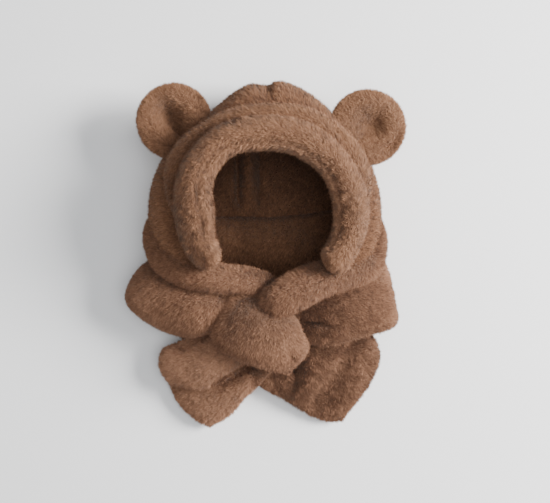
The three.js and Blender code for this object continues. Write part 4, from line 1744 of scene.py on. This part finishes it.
        # painted shadow below the band, in a shallow dent; painted shade over the whole tail
        band_line = ((0.038, -0.083), (0.045, -0.090), (0.058, -0.094), (0.083, -0.092), (0.111, -0.082))
        shadow_below_band = Crease(band_line, 0.002, 0.006, (1.0, 1.0), 0.25)
        tail = self.band(RIGHT_TAIL, self.pad, across=40, along=52, corners=0.08)
        turned_edge = self.band(RIGHT_TURN, self.pad, across=20, along=26)
        return Piece(
            "tail_right", ("right_tail",), Region.SCARF, (tail, turned_edge), tufts=70000,
            fall=spreading(1.0, -0.5, (0.06, -0.12), (0.065, 0.055)), seed=22,
            creases=(fold, shadow_below_band), shade=even_painted_shade(-0.05),
        )

    def left_tail(self) -> Piece:
        """Left tail of two lobes, its seam and fold in painted shade, painted light along its middle and all
        over.

        Returns:
            The piece.
        """
        # seam and fold are dents with painted shade; lit_middle and the shadow below the fold are painted
        # alone; painted light all over
        seam_line = ((-0.094, -0.098), (-0.073, -0.092), (-0.063, -0.086), (-0.052, -0.080))
        seam = Crease(seam_line, 0.004, 0.0024, (0.3, 1.0), 0.2)
        fold_line = ((-0.014, -0.112), (-0.023, -0.117), (-0.033, -0.123), (-0.043, -0.127), (-0.056, -0.131))
        fold = Crease(fold_line, 0.006, 0.006, (1.0, 0.0), 0.5)
        lit_middle = Crease(((-0.090, -0.110), (-0.030, -0.098)), 0.0, 0.018, (1.0, 1.0), -0.36)
        shadow_line = ((-0.016, -0.118), (-0.036, -0.132), (-0.052, -0.139))
        painted_shadow_below_fold = Crease(shadow_line, 0.0, 0.007, (1.0, 0.3), 0.3)
        upper = self.band(LEFT_TAIL_UPPER, self.pad, across=40, along=52, corners=0.08)
        lower = self.band(LEFT_TAIL_LOWER, self.pad, across=36, along=44, corners=0.15)
        return Piece(
            "tail_left", ("left_tail",), Region.SCARF, (upper, lower), tufts=62000,
            fall=spreading(-1.0, -0.2, (-0.055, -0.125), (0.055, 0.055)), seed=23,
            creases=(seam, fold, lit_middle, painted_shadow_below_fold), pile=ROUGH, shade=even_painted_shade(0.14),
        )

    def place(self, shares: np.ndarray) -> Points:
        """Points at shares of the spread, width and rise."""
        scale = np.array([self.spread, self.width, self.rise])
        return shares * scale + np.array([0.0, self.line, 0.0])

    def band(
        self,
        rows: list[Station],
        pad: float,
        across: int,
        along: int,
        corners: float = 0.2,
        crisp: float = 0.0,
    ) -> Skin:
        """Padded band through stations, arched across from the top edge over the middle to the hem.

        Across, the surface is the parabola through the three rails, or nearer to two straight
        halves the crisper it is. Along, each rail is the smooth curve through its stations.

        Args:
            rows: Stations of the band.
            pad: Whole padding where a station has a share of one.
            across: Steps across.
            along: Steps along.
            corners: How round the corners are.
            crisp: How sharply the band turns at its middle, from 0 to 1.

        Returns:
            The closed skin.
        """
        stations = np.array([(row.top, row.middle, row.hem) for row in rows])
        top, middle, hem = (self.place(stations[:, k]) for k in range(3))
        pads = np.array([row.pad for row in rows])

        def surface(p: np.ndarray, q: np.ndarray) -> Points:
            """Middle surface: the rails, weighted by p squared or by a hyperbola round the bend.

            Args:
                p: Places across, from -1 to 1.
                q: Places along, from -1 to 1.

            Returns:
                One point for each place.
            """
            share = np.clip((q + 1) / 2, 0.0, 1.0)
            sharp = (np.sqrt(p * p + BEND) - np.sqrt(BEND)) / (np.sqrt(1 + BEND) - np.sqrt(BEND))
            bent = (1 - crisp) * p * p + crisp * sharp
            weights = ((bent - p) / 2, 1 - bent, (bent + p) / 2)
            rails = (curve_through(rail, share) for rail in (top, middle, hem))
            return sum(w[..., None] * rail for w, rail in zip(weights, rails))

        def padding(p: np.ndarray, q: np.ndarray) -> np.ndarray:
            """Half the padding."""
            return pad / 2 * column_at(pads, (q + 1) / 2)

        return pillow_skin(surface, padding, across, along, corners)

    def neck_roll(self, rows: list[RollStation]) -> Skin:
        """Roll beside a cheek through stations.

        Args:
            rows: Stations of the roll.

        Returns:
            The closed skin.
        """
        stops = self.place(np.array([row.at for row in rows]))
        wide = np.array([row.wide for row in rows]) * self.roll_width / 2
        high = np.array([row.high for row in rows]) * self.roll_height / 2
        return roll_skin(
            lambda share: curve_through(stops, share),
            lambda share: column_at(wide, share),
            lambda share: column_at(high, share),
            lean=0.0,
            steps=74,
            sides=40,
            end_share=0.14,
        )


@dataclass(frozen=True)
class Lamp:
    """Square soft light that faces the hood."""

    name: str
    place: Triple
    size: float
    power: float
    color: Triple

    def hang(self) -> None:
        """Puts the light in the scene."""
        lamp = bpy.data.lights.new(self.name, "AREA")
        lamp.shape = "SQUARE"
        lamp.size = self.size
        lamp.energy = self.power
        lamp.color = self.color
        made = bpy.data.objects.new(self.name, lamp)
        made.location = self.place
        aim = np.array([0.0, 0.0, 0.04]) - np.array(self.place)
        made.rotation_mode = "QUATERNION"
        made.rotation_quaternion = Vector(aim).to_track_quat("-Z", "Y")
        bpy.context.scene.collection.objects.link(made)


@dataclass
class Studio:
    """Pale table, soft light from the right and the camera straight above."""

    camera_height: float = 0.85
    camera_place: tuple[float, float] = (0.013, 0.0045)
    camera_span: float = 0.5775
    sensor: float = 36.0
    table_half: float = 2.5
    table_grey: float = 0.9
    table_roughness: float = 0.8
    room_color: Triple = (0.9, 0.92, 0.95)
    room_light: float = 0.4
    lamps: tuple[Lamp, ...] = (
        Lamp("window", (1.6, 0.35, 1.0), 0.8, 120.0, (1.0, 0.99, 0.98)),
        Lamp("ceiling", (0.4, -0.2, 2.2), 1.8, 30.0, (0.97, 0.98, 1.0)),
    )

    def build(self) -> None:
        """Makes the table, the lights and the camera."""
        self._table()
        for lamp in self.lamps:
            lamp.hang()
        world = bpy.data.worlds.new("room")
        world.use_nodes = True
        world.node_tree.nodes["Background"].inputs["Color"].default_value = (*self.room_color, 1.0)
        world.node_tree.nodes["Background"].inputs["Strength"].default_value = self.room_light
        bpy.context.scene.world = world
        camera = bpy.data.objects.new("camera", bpy.data.cameras.new("camera"))
        camera.location = (*self.camera_place, self.camera_height)
        camera.data.sensor_width = self.sensor
        camera.data.lens = self.sensor * self.camera_height / self.camera_span
        bpy.context.scene.collection.objects.link(camera)
        bpy.context.scene.camera = camera

    def _table(self) -> None:
        """Wide pale table."""
        half = self.table_half
        corners = [(-half, -half, 0), (half, -half, 0), (half, half, 0), (-half, half, 0)]
        mesh = bpy.data.meshes.new("table")
        mesh.from_pydata(corners, [], [(0, 1, 2, 3)])
        table = bpy.data.objects.new("table", mesh)
        made = bpy.data.materials.new("pale_table")
        made.use_nodes = True
        shader = made.node_tree.nodes["Principled BSDF"]
        shader.inputs["Base Color"].default_value = (self.table_grey, self.table_grey, self.table_grey, 1.0)
        shader.inputs["Roughness"].default_value = self.table_roughness
        mesh.materials.append(made)
        bpy.context.scene.collection.objects.link(table)


def main() -> None:
    """Builds the studio and every piece of the hood scarf, and reports each."""
    logging.basicConfig(level=logging.INFO, format="%(name)s: %(message)s")
    Studio().build()
    dressed = {region: plush.material() for region, plush in PLUSH.items()}
    rings = HoodRings()
    hood = [HoodShell(rings), BrimRoll(rings), HoodFold(rings), left_ear(rings), right_ear(rings)]
    for piece in [*(part.piece() for part in hood), *Scarf().pieces()]:
        piece.finish(dressed[piece.region])


if __name__ == "__main__":
    main()
